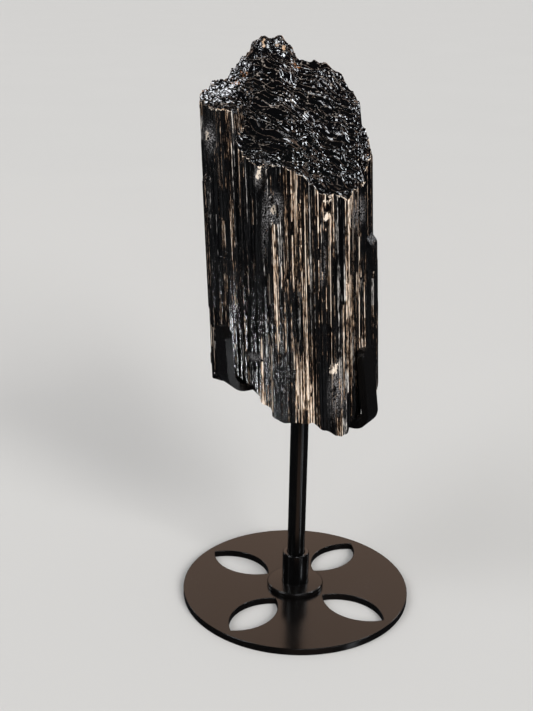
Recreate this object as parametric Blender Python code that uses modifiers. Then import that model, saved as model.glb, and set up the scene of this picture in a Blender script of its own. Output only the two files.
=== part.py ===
"""Black tourmaline crystal held upright in a black metal display stand.

Frame: +Z up, metres. The origin is the middle of the foot plate's underside. -Y is the front, the side
from which the crystal's slanted broken top is seen. The two front prongs stand to the left and the right
of the front, and the third stands behind the crystal.
"""
import bisect
import math
import random

import bmesh
import bpy
from mathutils import Vector

MM = 0.001
GAP = 0.3 * MM

# Foot plate
PLATE_RADIUS = 65.0 * MM
PLATE_THICKNESS = 4.0 * MM
PLATE_EDGE_BEVEL = 0.5 * MM
LEAF_COUNT = 4
LEAF_FIRST_ANGLE = math.radians(-36.4)
LEAF_INNER_TIP = 19.4 * MM
LEAF_OUTER_TIP = 60.2 * MM
LEAF_HALF_WIDTH = 10.7 * MM
LEAF_ARC_STEPS = 12

# Rod and the pieces round its foot
ROD_RADIUS = 5.0 * MM
SLEEVE_RADIUS = 7.25 * MM
SLEEVE_TOP_Z = 26.0 * MM
SLEEVE_BEVEL = 0.7 * MM
FLANGE_RADIUS = 16.25 * MM
FLANGE_THICKNESS = 2.5 * MM
FLANGE_BEVEL = 0.8 * MM
ROUND_SEGMENTS = 48

# Hub: a hexagonal block on the rod's top, three of its flats facing the arms
HUB_ACROSS_FLATS = 21.0 * MM
HUB_BOTTOM_Z = 112.0 * MM
HUB_TOP_Z = 125.5 * MM
HUB_BEVEL = 0.6 * MM
HUB_TURN = math.radians(30.0)

# Prongs: flat bars bent to an L. Distances run outwards from the rod's axis to the bar's middle surface.
BAR_WIDTH = 12.0 * MM
BAR_THICKNESS = 4.0 * MM
BAR_EDGE_BEVEL = 0.45 * MM
BAR_TIP_ROWS = 8
BAR_BEND_ROWS = 6
ELBOW_RADIUS = 6.0 * MM
ARM_START = HUB_ACROSS_FLATS / 2 + GAP
PRONGS = {
    "prong_front_left": {
        "azimuth": -150.0,
        "arm_start_z": 121.0 * MM,
        "elbows": ((16.5 * MM, 121.0 * MM), (31.0 * MM, 135.8 * MM)),
        "bend": (45.3 * MM, 135.8 * MM),
        "bend_radius": 9.0 * MM,
        "tip": (48.2 * MM, 170.2 * MM),
    },
    "prong_front_right": {
        "azimuth": -30.0,
        "arm_start_z": 115.2 * MM,
        "elbows": (),
        "bend": (42.9 * MM, 115.2 * MM),
        "bend_radius": 6.5 * MM,
        "tip": (36.9 * MM, 157.2 * MM),
    },
    "prong_back": {
        "azimuth": 90.0,
        "arm_start_z": 118.0 * MM,
        "elbows": ((17.0 * MM, 118.0 * MM), (27.0 * MM, 123.0 * MM)),
        "bend": (40.6 * MM, 123.0 * MM),
        "bend_radius": 8.0 * MM,
        "tip": (40.6 * MM, 163.0 * MM),
    },
}

# Crystal: its axis leans to the left as it rises, and its section is bounded by flat faces
SECTION_Z = 126.0 * MM
SECTION_CENTRE = (-2.4 * MM, 1.5 * MM)
LEAN_PER_METRE = -0.050
TAPER_PER_METRE = 0.10
FACE_SHARPNESS = 16.0
# Each face: azimuth in degrees, distance from the crystal's axis in millimetres
SIDE_FACES = (
    (4, 48.2), (-30, 39.6), (-58, 42.0), (-92, 37.5), (-122, 40.0), (-150, 43.6),
    (178, 47.8), (136, 44.0), (90, 37.5), (45, 44.5),
)

# Ribs that run the crystal's length, side by side, each a little proud or set back
RIB_COUNT = 30
RIB_SEED = 11
RIB_JITTER = 0.34
RIB_ROUNDING = 1.1 * MM
RIB_SQUARENESS = 4
RIB_SET_BACK = 1.5 * MM
RIB_FADE_POWER = 3
# Deep grooves between ribs: azimuth in degrees, half width in degrees, depth in millimetres
GROOVES = (
    (-139, 6.0, 2.4), (-113.5, 4.0, 2.6), (-78, 4.0, 1.8), (-57, 4.5, 2.4), (-12, 5.0, 2.0),
    (30, 5.0, 2.2), (66, 5.0, 1.8), (112, 6.0, 2.4), (158, 5.0, 2.0),
)
# Ledges where a rib ends and the ribs behind it go on:
# azimuth and half width in degrees, height, depth and fall of the step in millimetres
LEDGES = (
    (2, 17.0, 207.0, 3.4, 7.0),
    (-134, 6.0, 196.0, 1.2, 4.0),
    (52, 12.0, 236.0, 2.6, 6.0),
    (96, 11.0, 268.0, 2.2, 6.0),
    (150, 13.0, 214.0, 2.4, 6.0),
    (-172, 9.0, 240.0, 1.6, 5.0),
)
LEDGE_FLAT_SHARE = 0.75
# Pits: azimuth in degrees, height in millimetres, half width in degrees, half height and depth in millimetres
PITS = (
    (-106.5, 232.0, 7.0, 8.0, 3.4),
    (-113.0, 246.0, 3.6, 9.0, 2.4),
    (128.0, 185.0, 7.0, 10.0, 3.0),
)

# Broken top: it rises from its front rim to a crest near the back, then falls to the back rim.
# Heights along the front rim and along the crest: x and z in millimetres
TOP_FRONT = (
    (-57, 269), (-46, 265), (-38, 260), (-32, 255), (-26, 253.5), (-9, 252), (-4, 249.5), (1, 244), (6, 240),
    (11, 237.5), (15, 237), (20, 233.5), (26, 235), (31, 238), (36, 246),
)
TOP_CREST = (
    (-57, 273), (-54, 279), (-49, 283), (-44, 288.5), (-38.5, 292), (-33, 300), (-27, 307.5), (-22, 310.3),
    (-16, 310.3), (-10.5, 306.5), (-4.5, 300.5), (2, 299), (8, 296.5), (16, 291.5), (23, 285), (26.5, 279),
    (29, 264), (35, 257),
)
TOP_MIDDLE_X = -9.0 * MM
TOP_HALF_WIDTH = 48.0 * MM
TOP_OUTLINE_POWER = 4
TOP_FRONT_Y = -32.0 * MM
TOP_CREST_Y = 25.0 * MM
TOP_LEAST_RUN = 1.0 * MM
TOP_BACK_SLOPE = -0.85
TOP_BOWL_DEPTH = 3.5 * MM
# The crystal leans, so the place of a top point and its height are found in turns, from this height
TOP_START_Z = 270.0 * MM
TOP_TRIES = 3
# Lumps of small crystals on the left shoulder and the peak: x, y, radius and height in millimetres
TOP_LUMPS = (
    (-47, 2, 6.5, 3.5), (-41, 12, 6.0, 3.5), (-49, 14, 5.5, 3.0), (-37, 20, 5.0, 3.0), (-45, -9, 5.5, 2.5),
    (-25, 26, 5.5, 2.4), (-15, 25, 5.0, 2.0), (-34, 4, 6.0, -4.0), (-23, -33, 5.5, -4.5),
)
# Steps of the broken top that run from the back left to the front right: x, y and rise in millimetres
TOP_STEPS = ((-16, 14, 2.4), (2, 4, -2.0), (10, -14, 1.8))
TOP_STEP_HEADING = math.radians(-32.0)
TOP_STEP_FALL = 3.0 * MM

# Broken foot: height of its rim by azimuth (degrees, millimetres)
FOOT_RIM = (
    (-172, 131), (-163, 137), (-157, 142), (-144, 142), (-136, 138), (-128, 135), (-120, 128), (-110, 123),
    (-100, 120.5), (-78, 120.5), (-69, 116.5), (-55, 111.6), (-46, 113), (-39, 121), (-21, 121), (-12, 123),
    (8, 125), (40, 127), (70, 129), (110, 129), (140, 127), (165, 130), (180, 129.5), (188, 131),
)
FOOT_MIDDLE_Z = 128.5 * MM
FOOT_RIM_POWER = 2.6
FOOT_WAVE_HEIGHT = 1.2 * MM
FOOT_WAVES_ROUND = 5
FOOT_WAVES_OUTWARD = 7.0
# The crystal clears the prongs and arms by this gap, over the bars' width and this much beside them
SEAT_GAP = 0.8 * MM
SEAT_MARGIN = 4.4 * MM
SEAT_FALL = 3.0
# A prong bounds the crystal only at azimuths whose cosine toward the prong is above this
PRONG_FACING = 0.5
# Along an arm the foot rises this much ahead of the arm, whose bends would otherwise touch a flat facet
SEAT_LEAD = 2.0 * MM

# Facets of the crystal's mesh: cells across each end, and rows along its sides
CRYSTAL_CELLS = 26
CRYSTAL_ROWS = 17


def material(name, colour, roughness, metallic):
    """A plain Principled finish."""
    mat = bpy.data.materials.new(name)
    mat.use_nodes = True
    shader = mat.node_tree.nodes["Principled BSDF"]
    shader.inputs["Base Color"].default_value = (*colour, 1.0)
    shader.inputs["Roughness"].default_value = roughness
    shader.inputs["Metallic"].default_value = metallic
    return mat


def add_object(name, data, collection, mat):
    obj = bpy.data.objects.new(name, data)
    collection.objects.link(obj)
    data.materials.append(mat)
    return obj


def bevel(obj, width, segments=2, angle=40.0):
    mod = obj.modifiers.new("Rounded edges", "BEVEL")
    mod.width = width
    mod.segments = segments
    mod.limit_method = "ANGLE"
    mod.angle_limit = math.radians(angle)


def turned(name, profile, collection, mat, segments=ROUND_SEGMENTS):
    """A closed turned shape. The profile's (radius, z) points run down the outer side first."""
    mesh = bpy.data.meshes.new(name)
    points = [(radius, 0.0, z) for radius, z in profile]
    edges = [(i, (i + 1) % len(points)) for i in range(len(points))]
    mesh.from_pydata(points, edges, [])
    obj = add_object(name, mesh, collection, mat)
    mod = obj.modifiers.new("Turned", "SCREW")
    mod.steps = mod.render_steps = segments
    mod.use_merge_vertices = True
    mod.merge_threshold = 0.01 * MM
    mod.use_smooth_shade = True
    return obj


def leaf_outline(angle):
    """A leaf of two equal arcs whose tips lie on one radius of the plate."""
    half_length = (LEAF_OUTER_TIP - LEAF_INNER_TIP) / 2
    middle = (LEAF_OUTER_TIP + LEAF_INNER_TIP) / 2
    arc_radius = (half_length ** 2 + LEAF_HALF_WIDTH ** 2) / (2 * LEAF_HALF_WIDTH)
    half_turn = math.asin(half_length / arc_radius)
    points = []
    for side in (1, -1):
        for i in range(LEAF_ARC_STEPS):
            turn = half_turn * (2 * i / LEAF_ARC_STEPS - 1)
            along = middle + side * arc_radius * math.sin(turn)
            across = side * (arc_radius * math.cos(turn) - arc_radius + LEAF_HALF_WIDTH)
            points.append((along * math.cos(angle) - across * math.sin(angle),
                           along * math.sin(angle) + across * math.cos(angle)))
    return points


def add_outline(curve, points):
    spline = curve.splines.new("POLY")
    spline.points.add(len(points) - 1)
    for target, (x, y) in zip(spline.points, points):
        target.co = (x, y, 0.0, 1.0)
    spline.use_cyclic_u = True


def base_plate(collection, mat):
    curve = bpy.data.curves.new("base_plate", "CURVE")
    curve.dimensions = "2D"
    curve.fill_mode = "BOTH"
    curve.extrude = PLATE_THICKNESS / 2 - PLATE_EDGE_BEVEL
    curve.bevel_depth = PLATE_EDGE_BEVEL
    curve.bevel_resolution = 1
    rim_radius = PLATE_RADIUS - PLATE_EDGE_BEVEL
    turns = [math.pi * i / ROUND_SEGMENTS for i in range(2 * ROUND_SEGMENTS)]
    add_outline(curve, [(rim_radius * math.cos(turn), rim_radius * math.sin(turn)) for turn in turns])
    for k in range(LEAF_COUNT):
        add_outline(curve, leaf_outline(LEAF_FIRST_ANGLE + k * 2 * math.pi / LEAF_COUNT))
    source = bpy.data.objects.new("base_plate_outline", curve)
    collection.objects.link(source)
    bpy.context.view_layer.update()
    evaluated = source.evaluated_get(bpy.context.evaluated_depsgraph_get())
    mesh = bpy.data.meshes.new_from_object(evaluated)
    bpy.data.objects.remove(source)
    mesh.name = "base_plate"
    bm = bmesh.new()
    bm.from_mesh(mesh)
    bmesh.ops.remove_doubles(bm, verts=bm.verts, dist=0.01 * MM)
    bm.to_mesh(mesh)
    bm.free()
    mesh.materials.clear()
    obj = add_object("base_plate", mesh, collection, mat)
    obj.location.z = PLATE_THICKNESS / 2


def flange(collection, mat):
    low = PLATE_THICKNESS + GAP
    high = low + FLANGE_THICKNESS
    bore = ROD_RADIUS + GAP
    turned("flange", [
        (bore, high), (FLANGE_RADIUS - FLANGE_BEVEL, high), (FLANGE_RADIUS, high - FLANGE_BEVEL),
        (FLANGE_RADIUS, low), (bore, low),
    ], collection, mat)
    return high


def sleeve(low, collection, mat):
    bore = ROD_RADIUS + GAP
    turned("sleeve", [
        (bore + SLEEVE_BEVEL, SLEEVE_TOP_Z), (SLEEVE_RADIUS - SLEEVE_BEVEL, SLEEVE_TOP_Z),
        (SLEEVE_RADIUS, SLEEVE_TOP_Z - SLEEVE_BEVEL), (SLEEVE_RADIUS, low + SLEEVE_BEVEL),
        (SLEEVE_RADIUS + SLEEVE_BEVEL, low), (bore, low), (bore, SLEEVE_TOP_Z - SLEEVE_BEVEL),
    ], collection, mat)


def rod(collection, mat):
    low = PLATE_THICKNESS + GAP
    high = HUB_BOTTOM_Z - GAP
    mesh = bpy.data.meshes.new("rod")
    bm = bmesh.new()
    bmesh.ops.create_cone(bm, cap_ends=True, segments=ROUND_SEGMENTS, radius1=ROD_RADIUS, radius2=ROD_RADIUS,
                          depth=high - low)
    bm.to_mesh(mesh)
    bm.free()
    mesh.shade_smooth()
    mesh.set_sharp_from_angle(angle=math.radians(40.0))
    obj = add_object("rod", mesh, collection, mat)
    obj.location.z = (low + high) / 2


def hub(collection, mat):
    corner_radius = HUB_ACROSS_FLATS / 2 / math.cos(math.pi / 6)
    mesh = bpy.data.meshes.new("hub")
    bm = bmesh.new()
    bmesh.ops.create_cone(bm, cap_ends=True, segments=6, radius1=corner_radius, radius2=corner_radius,
                          depth=HUB_TOP_Z - HUB_BOTTOM_Z)
    bm.to_mesh(mesh)
    bm.free()
    obj = add_object("hub", mesh, collection, mat)
    obj.location.z = (HUB_TOP_Z + HUB_BOTTOM_Z) / 2
    obj.rotation_euler.z = HUB_TURN
    bevel(obj, HUB_BEVEL, segments=1)


def rounded_corner(before, corner, after, radius, rows):
    """The points of the arc that rounds a corner of a path in the plane."""
    to_before = (before - corner).normalized()
    to_after = (after - corner).normalized()
    half_angle = to_before.angle(to_after) / 2
    centre = corner + (to_before + to_after).normalized() * (radius / math.sin(half_angle))
    start = corner + to_before * (radius / math.tan(half_angle)) - centre
    finish = corner + to_after * (radius / math.tan(half_angle)) - centre
    turn = start.angle(finish)
    points = []
    for i in range(rows + 1):
        share = i / rows
        blend = start * math.sin((1 - share) * turn) + finish * math.sin(share * turn)
        points.append(centre + blend / math.sin(turn))
    return points


def bar_path(spec):
    """(distance from the rod's axis, z) of the bar's middle line, from the hub to where its tip starts."""
    corners = [Vector((ARM_START, spec["arm_start_z"]))]
    radii = [None]
    for elbow in spec["elbows"]:
        corners.append(Vector(elbow))
        radii.append(ELBOW_RADIUS)
    corners += [Vector(spec["bend"]), Vector(spec["tip"])]
    radii += [spec["bend_radius"], None]
    path = [corners[0]]
    for i in range(1, len(corners) - 1):
        path += rounded_corner(corners[i - 1], corners[i], corners[i + 1], radii[i], BAR_BEND_ROWS)
    along = (corners[-1] - corners[-2]).normalized()
    path.append(corners[-1] - along * (BAR_WIDTH / 2))
    return path, along


def prong(name, spec, collection, mat):
    """A strip along the bent path, half-round at its tip, given its thickness by Solidify."""
    path, along = bar_path(spec)
    tip_start = path[-1]
    half_width = BAR_WIDTH / 2
    rows = [(point, half_width) for point in path]
    for i in range(1, BAR_TIP_ROWS):
        turn = math.pi / 2 * i / BAR_TIP_ROWS
        rows.append((tip_start + along * (half_width * math.sin(turn)), half_width * math.cos(turn)))
    outward = outward_from(spec)
    across = Vector((-outward.y, outward.x, 0.0))
    mesh = bpy.data.meshes.new(name)
    bm = bmesh.new()
    previous = None
    for point, half in rows:
        middle = outward * point.x + Vector((0.0, 0.0, point.y))
        pair = [bm.verts.new(middle + across * (side * half)) for side in (-1, 1)]
        if previous:
            bm.faces.new((previous[0], previous[1], pair[1], pair[0]))
        previous = pair
    tip = tip_start + along * half_width
    apex = bm.verts.new(outward * tip.x + Vector((0.0, 0.0, tip.y)))
    bm.faces.new((previous[0], previous[1], apex))
    bmesh.ops.recalc_face_normals(bm, faces=bm.faces)
    bm.to_mesh(mesh)
    bm.free()
    obj = add_object(name, mesh, collection, mat)
    thick = obj.modifiers.new("Bar thickness", "SOLIDIFY")
    thick.thickness = BAR_THICKNESS
    thick.offset = 0.0
    thick.use_even_offset = True
    bevel(obj, BAR_EDGE_BEVEL, segments=1, angle=60.0)


def outward_from(spec):
    """The direction from the rod's axis to a prong, seen from above."""
    azimuth = math.radians(spec["azimuth"])
    return Vector((math.cos(azimuth), math.sin(azimuth), 0.0))


def inner_line(spec):
    """The arm's upper and the prong's inner side as (distance from the rod's axis, z), clear by a gap."""
    path, along = bar_path(spec)
    path.append(path[-1] + along * BAR_WIDTH)
    line = []
    for before, point, after in zip([path[0]] + path, path, path[1:] + [path[-1]]):
        run = (after - before).normalized()
        line.append(point + Vector((-run.y, run.x)) * (BAR_THICKNESS / 2 + SEAT_GAP))
    return line


def smooth(share):
    share = min(1.0, max(0.0, share))
    return share * share * (3.0 - 2.0 * share)


def nearest_turn(angle, middle):
    """The signed angle in degrees from middle to angle, within half a turn."""
    return (angle - middle + 180.0) % 360.0 - 180.0


def eased(table, place):
    """The table's second value at a place along its first, eased between its entries."""
    if place <= table[0][0]:
        return table[0][1]
    for (low, low_value), (high, high_value) in zip(table, table[1:]):
        if place <= high:
            return low_value + (high_value - low_value) * smooth((place - low) / (high - low))
    return table[-1][1]


def make_ribs():
    """Seeded ribs round the crystal: where each starts, in degrees, and how far it is set back."""
    rng = random.Random(RIB_SEED)
    pitch = 360.0 / RIB_COUNT
    starts = [pitch * (i + rng.uniform(-RIB_JITTER, RIB_JITTER)) for i in range(RIB_COUNT)]
    set_backs = [RIB_SET_BACK * rng.random() for _ in range(RIB_COUNT)]
    return starts, set_backs


RIB_STARTS, RIB_SET_BACKS = make_ribs()
INNER_LINES = [(outward_from(spec), inner_line(spec)) for spec in PRONGS.values()]


def rib_depth(azimuth):
    """How far the surface lies inside the flat faces at an azimuth, from the ribs' round backs."""
    azimuth = (azimuth - RIB_STARTS[0]) % 360.0 + RIB_STARTS[0]
    i = bisect.bisect_right(RIB_STARTS, azimuth) - 1
    finish = RIB_STARTS[i + 1] if i + 1 < RIB_COUNT else RIB_STARTS[0] + 360.0
    across = 2.0 * (azimuth - RIB_STARTS[i]) / (finish - RIB_STARTS[i]) - 1.0
    return RIB_SET_BACKS[i] + RIB_ROUNDING * across ** RIB_SQUARENESS


def side_depth(azimuth, z):
    """Everything that is cut into the flat faces: ribs, grooves, ledges and pits."""
    depth = rib_depth(azimuth)
    for middle, half_width, cut in GROOVES:
        depth += cut * MM * (1.0 - smooth(abs(nearest_turn(azimuth, middle)) / half_width))
    for middle, half_width, height, cut, fall in LEDGES:
        across = abs(nearest_turn(azimuth, middle)) / half_width
        beside = 1.0 - smooth((across - LEDGE_FLAT_SHARE) / (1.0 - LEDGE_FLAT_SHARE))
        depth += cut * MM * beside * smooth((z / MM - height) / fall)
    for middle, height, half_width, half_height, cut in PITS:
        away = math.hypot(nearest_turn(azimuth, middle) / half_width, (z / MM - height) / half_height)
        depth += cut * MM * (1.0 - smooth(away))
    return depth


def face_radius(azimuth, z):
    """Radius of the section bounded by the flat faces, its corners rounded a little."""
    total = 0.0
    for face_azimuth, distance in SIDE_FACES:
        toward = math.cos(math.radians(azimuth - face_azimuth))
        if toward > 0.0:
            total += (toward / distance) ** FACE_SHARPNESS
    return total ** (-1.0 / FACE_SHARPNESS) * MM * (1.0 - TAPER_PER_METRE * (z - SECTION_Z))


def axis_point(z):
    return SECTION_CENTRE[0] + LEAN_PER_METRE * (z - SECTION_Z), SECTION_CENTRE[1]


def prong_reach(azimuth, z):
    """How far from its axis the crystal may reach at an azimuth and height before it meets a prong."""
    reach = PLATE_RADIUS
    centre_x, centre_y = axis_point(z)
    turn = math.radians(azimuth)
    for outward, line in INNER_LINES:
        toward = outward.x * math.cos(turn) + outward.y * math.sin(turn)
        if toward < PRONG_FACING:
            continue
        for low, high in zip(line, line[1:]):
            if low.y < z <= high.y:
                limit = low.x + (high.x - low.x) * (z - low.y) / (high.y - low.y)
                touch = (limit - outward.x * centre_x - outward.y * centre_y) / toward
                across = abs(outward.x * (centre_y + touch * math.sin(turn))
                             - outward.y * (centre_x + touch * math.cos(turn)))
                if across < BAR_WIDTH / 2 + SEAT_MARGIN:
                    reach = min(reach, touch)
    return reach


def arm_top(x, y):
    """The lowest height that clears the hub and the arms over a point, falling away beside them."""
    past_hub = max(0.0, math.hypot(x, y) - HUB_ACROSS_FLATS / 2 - SEAT_MARGIN)
    height = HUB_TOP_Z + SEAT_GAP - past_hub * SEAT_FALL
    for outward, line in INNER_LINES:
        along = x * outward.x + y * outward.y + SEAT_LEAD
        beside = max(0.0, abs(x * outward.y - y * outward.x) - BAR_WIDTH / 2 - SEAT_MARGIN)
        for low, high in zip(line, line[1:]):
            if low.x < along <= high.x:
                top = low.y + (high.y - low.y) * (along - low.x) / (high.x - low.x)
                height = max(height, top - beside * SEAT_FALL)
                break
    return height


def section_point(share, azimuth, z):
    """The point at a share of the way from the crystal's axis to its side, at an azimuth and height."""
    side = face_radius(azimuth, z) - side_depth(azimuth, z) * share ** RIB_FADE_POWER
    side = min(side, prong_reach(azimuth, z))
    centre_x, centre_y = axis_point(z)
    turn = math.radians(azimuth)
    return centre_x + share * side * math.cos(turn), centre_y + share * side * math.sin(turn)


def top_height(x, y):
    """Height of the broken top over a point."""
    inward = 1.0 - min(1.0, abs(x - TOP_MIDDLE_X) / TOP_HALF_WIDTH) ** TOP_OUTLINE_POWER
    front_y = TOP_FRONT_Y * inward
    crest_y = TOP_CREST_Y * inward + TOP_LEAST_RUN
    front = eased(TOP_FRONT, x / MM) * MM
    crest = eased(TOP_CREST, x / MM) * MM
    if y < crest_y:
        rise = max(0.0, (y - front_y) / (crest_y - front_y))
        z = front + (crest - front) * rise - TOP_BOWL_DEPTH * 4.0 * rise * (1.0 - rise) * inward
    else:
        z = crest + TOP_BACK_SLOPE * (y - crest_y)
    for step_x, step_y, height in TOP_STEPS:
        beyond_x = x - step_x * MM
        beyond_y = y - step_y * MM
        across = beyond_x * math.sin(TOP_STEP_HEADING) - beyond_y * math.cos(TOP_STEP_HEADING)
        z += height * MM * (smooth(across / TOP_STEP_FALL + 0.5) - 0.5) * inward
    for lump_x, lump_y, lump_radius, height in TOP_LUMPS:
        away = math.hypot(x / MM - lump_x, y / MM - lump_y) / lump_radius
        z += height * MM * (1.0 - smooth(away))
    return z


def foot_height(share, azimuth):
    """Height of the broken foot at a share of the radius, clear of the hub and the arms."""
    rim = eased(FOOT_RIM, (azimuth - FOOT_RIM[0][0]) % 360.0 + FOOT_RIM[0][0]) * MM
    wave = math.sin(math.radians(azimuth) * FOOT_WAVES_ROUND + share * FOOT_WAVES_OUTWARD)
    wave *= share * (1.0 - share) * FOOT_WAVE_HEIGHT
    return FOOT_MIDDLE_Z + (rim - FOOT_MIDDLE_Z) * share ** FOOT_RIM_POWER + wave


def crystal_point(u, v, level):
    """A point of the unit block (u and v from -1 to 1, level from 0 to 1) moved to the crystal's surface."""
    share = max(abs(u), abs(v))
    if share == 0.0:
        azimuth = 0.0
    elif abs(u) >= abs(v):
        azimuth = 45.0 * v / u + (180.0 if u < 0.0 else 0.0)
    else:
        azimuth = 90.0 - 45.0 * u / v + (180.0 if v < 0.0 else 0.0)
    foot = foot_height(share, azimuth)
    foot = max(foot, arm_top(*section_point(share, azimuth, foot)))
    top = TOP_START_Z
    for _ in range(TOP_TRIES):
        top = top_height(*section_point(share, azimuth, top))
    z = foot + (top - foot) * level
    return *section_point(share, azimuth, z), z


def crystal(collection, mat):
    """A gridded block whose upright edges are cut into rows, then every point is moved to the surface."""
    mesh = bpy.data.meshes.new("crystal")
    bm = bmesh.new()
    bmesh.ops.create_grid(bm, x_segments=CRYSTAL_CELLS, y_segments=CRYSTAL_CELLS, size=1.0)
    raised = bmesh.ops.extrude_face_region(bm, geom=bm.faces[:], use_keep_orig=True)["geom"]
    raised_verts = [item for item in raised if isinstance(item, bmesh.types.BMVert)]
    bmesh.ops.translate(bm, vec=(0.0, 0.0, 1.0), verts=raised_verts)
    upright = [e for e in bm.edges if abs(e.verts[0].co.z - e.verts[1].co.z) > 0.5]
    bmesh.ops.subdivide_edges(bm, edges=upright, cuts=CRYSTAL_ROWS - 1, use_grid_fill=True)
    for vert in bm.verts:
        vert.co = crystal_point(*vert.co)
    bmesh.ops.recalc_face_normals(bm, faces=bm.faces)
    bmesh.ops.triangulate(bm, faces=bm.faces)
    bm.to_mesh(mesh)
    bm.free()
    return add_object("crystal", mesh, collection, mat)


def main():
    for obj in list(bpy.data.objects):
        bpy.data.objects.remove(obj)
    collection = bpy.data.collections.new("tourmaline_crystal")
    bpy.context.scene.collection.children.link(collection)
    stone = material("black_tourmaline", (0.018, 0.016, 0.016), 0.25, 0.0)
    satin = material("satin_black_paint", (0.02, 0.018, 0.017), 0.42, 0.3)
    gloss = material("gloss_black_paint", (0.014, 0.013, 0.013), 0.2, 0.3)
    base_plate(collection, satin)
    flange_top = flange(collection, satin)
    sleeve(flange_top + GAP, collection, gloss)
    rod(collection, gloss)
    hub(collection, satin)
    for name, spec in PRONGS.items():
        prong(name, spec, collection, satin)
    crystal(collection, stone)


main()
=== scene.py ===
"""Black tourmaline crystal on its black metal stand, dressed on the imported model's frame.

The frame is in metres with +Z up, and its origin is the middle of the foot plate's underside. -Y is the
front. The stand's pieces and the crystal are made again in full detail where their solids are.
"""

import math
import random

import bmesh
import bpy
import numpy as np
from mathutils import Matrix, Vector, noise


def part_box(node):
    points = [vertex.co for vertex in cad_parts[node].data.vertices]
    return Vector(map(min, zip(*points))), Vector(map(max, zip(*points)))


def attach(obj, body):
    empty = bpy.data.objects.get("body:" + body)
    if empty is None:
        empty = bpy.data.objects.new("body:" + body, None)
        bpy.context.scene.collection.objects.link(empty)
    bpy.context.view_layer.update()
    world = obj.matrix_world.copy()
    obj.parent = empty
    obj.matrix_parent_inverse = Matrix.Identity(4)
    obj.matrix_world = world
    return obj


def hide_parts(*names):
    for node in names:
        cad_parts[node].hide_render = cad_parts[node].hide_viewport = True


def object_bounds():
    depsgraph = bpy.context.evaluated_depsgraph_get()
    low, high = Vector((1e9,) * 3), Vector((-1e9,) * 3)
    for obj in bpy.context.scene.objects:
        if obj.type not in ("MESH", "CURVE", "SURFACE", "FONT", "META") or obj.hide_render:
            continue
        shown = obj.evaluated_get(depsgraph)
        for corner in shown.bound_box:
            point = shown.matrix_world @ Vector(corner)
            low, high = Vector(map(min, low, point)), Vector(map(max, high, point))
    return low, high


bl_info = {
    "name": "Tourmaline on Stand",
    "version": (1, 0, 0),
    "blender": (4, 5, 0),
    "location": "3D View > Sidebar > Tourmaline",
    "description": "Makes a striated black tourmaline crystal in a pronged display stand",
    "category": "Add Mesh",
}

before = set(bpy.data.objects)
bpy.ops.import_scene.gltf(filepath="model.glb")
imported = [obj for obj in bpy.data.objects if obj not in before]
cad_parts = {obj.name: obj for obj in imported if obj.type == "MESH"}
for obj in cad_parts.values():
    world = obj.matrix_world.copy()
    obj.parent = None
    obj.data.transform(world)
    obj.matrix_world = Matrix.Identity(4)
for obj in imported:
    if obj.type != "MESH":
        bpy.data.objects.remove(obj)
CAD_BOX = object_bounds()
MM = 0.001

# Crystal's form, as in its solid: the axis leans to the left, and flat faces bound the section
SECTION_Z = 126.0 * MM
SECTION_CENTRE = (-2.4 * MM, 1.5 * MM)
LEAN_PER_METRE = -0.050
TAPER_PER_METRE = 0.10
FACE_SHARPNESS = 16.0
# Each face: azimuth in degrees, distance from the crystal's axis in millimetres
SIDE_FACES = (
    (4, 48.2), (-30, 39.6), (-58, 42.0), (-92, 37.5), (-122, 40.0), (-150, 43.6),
    (178, 47.8), (136, 44.0), (90, 37.5), (45, 44.5),
)
RIB_COUNT = 30
RIB_SEED = 11
RIB_JITTER = 0.34
RIB_ROUNDING = 1.1
RIB_SET_BACK = 1.5
RIB_FADE_POWER = 3
# Deep grooves between ribs: azimuth in degrees, half width in degrees, depth in millimetres
GROOVES = (
    (-139, 6.0, 2.4), (-113.5, 4.0, 2.6), (-78, 4.0, 1.8), (-57, 4.5, 2.4), (-12, 5.0, 2.0),
    (30, 5.0, 2.2), (66, 5.0, 1.8), (112, 6.0, 2.4), (158, 5.0, 2.0),
)
# Ledges where a rib ends: azimuth and half width in degrees, height, depth and fall in millimetres
LEDGES = (
    (2, 17.0, 207.0, 3.4, 7.0), (-134, 6.0, 196.0, 1.2, 4.0), (52, 12.0, 236.0, 2.6, 6.0),
    (96, 11.0, 268.0, 2.2, 6.0), (150, 13.0, 214.0, 2.4, 6.0), (-172, 9.0, 240.0, 1.6, 5.0),
)
LEDGE_FLAT_SHARE = 0.75
# Pits: azimuth in degrees, height in millimetres, half width in degrees, half height and depth in millimetres
PITS = ((-106.5, 232.0, 7.0, 8.0, 3.4), (-113.0, 246.0, 3.6, 9.0, 2.4), (128.0, 185.0, 7.0, 10.0, 3.0))
# Broken top, along its front rim and its crest: x and z in millimetres
TOP_FRONT = (
    (-57, 269), (-46, 265), (-38, 260), (-32, 255), (-26, 253.5), (-9, 252), (-4, 249.5), (1, 244), (6, 240),
    (11, 237.5), (15, 237), (20, 233.5), (26, 235), (31, 238), (36, 246),
)
TOP_CREST = (
    (-57, 273), (-54, 279), (-49, 283), (-44, 288.5), (-38.5, 292), (-33, 300), (-27, 307.5), (-22, 310.3),
    (-16, 310.3), (-10.5, 306.5), (-4.5, 300.5), (2, 299), (8, 296.5), (16, 291.5), (23, 285), (26.5, 279),
    (29, 264), (35, 257),
)
TOP_MIDDLE_X = -9.0
TOP_HALF_WIDTH = 48.0
TOP_OUTLINE_POWER = 4
TOP_FRONT_Y = -32.0
TOP_CREST_Y = 25.0
TOP_LEAST_RUN = 1.0
TOP_BACK_SLOPE = -0.85
TOP_BOWL_DEPTH = 3.5
TOP_START_Z = 270.0
TOP_TRIES = 3
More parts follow.
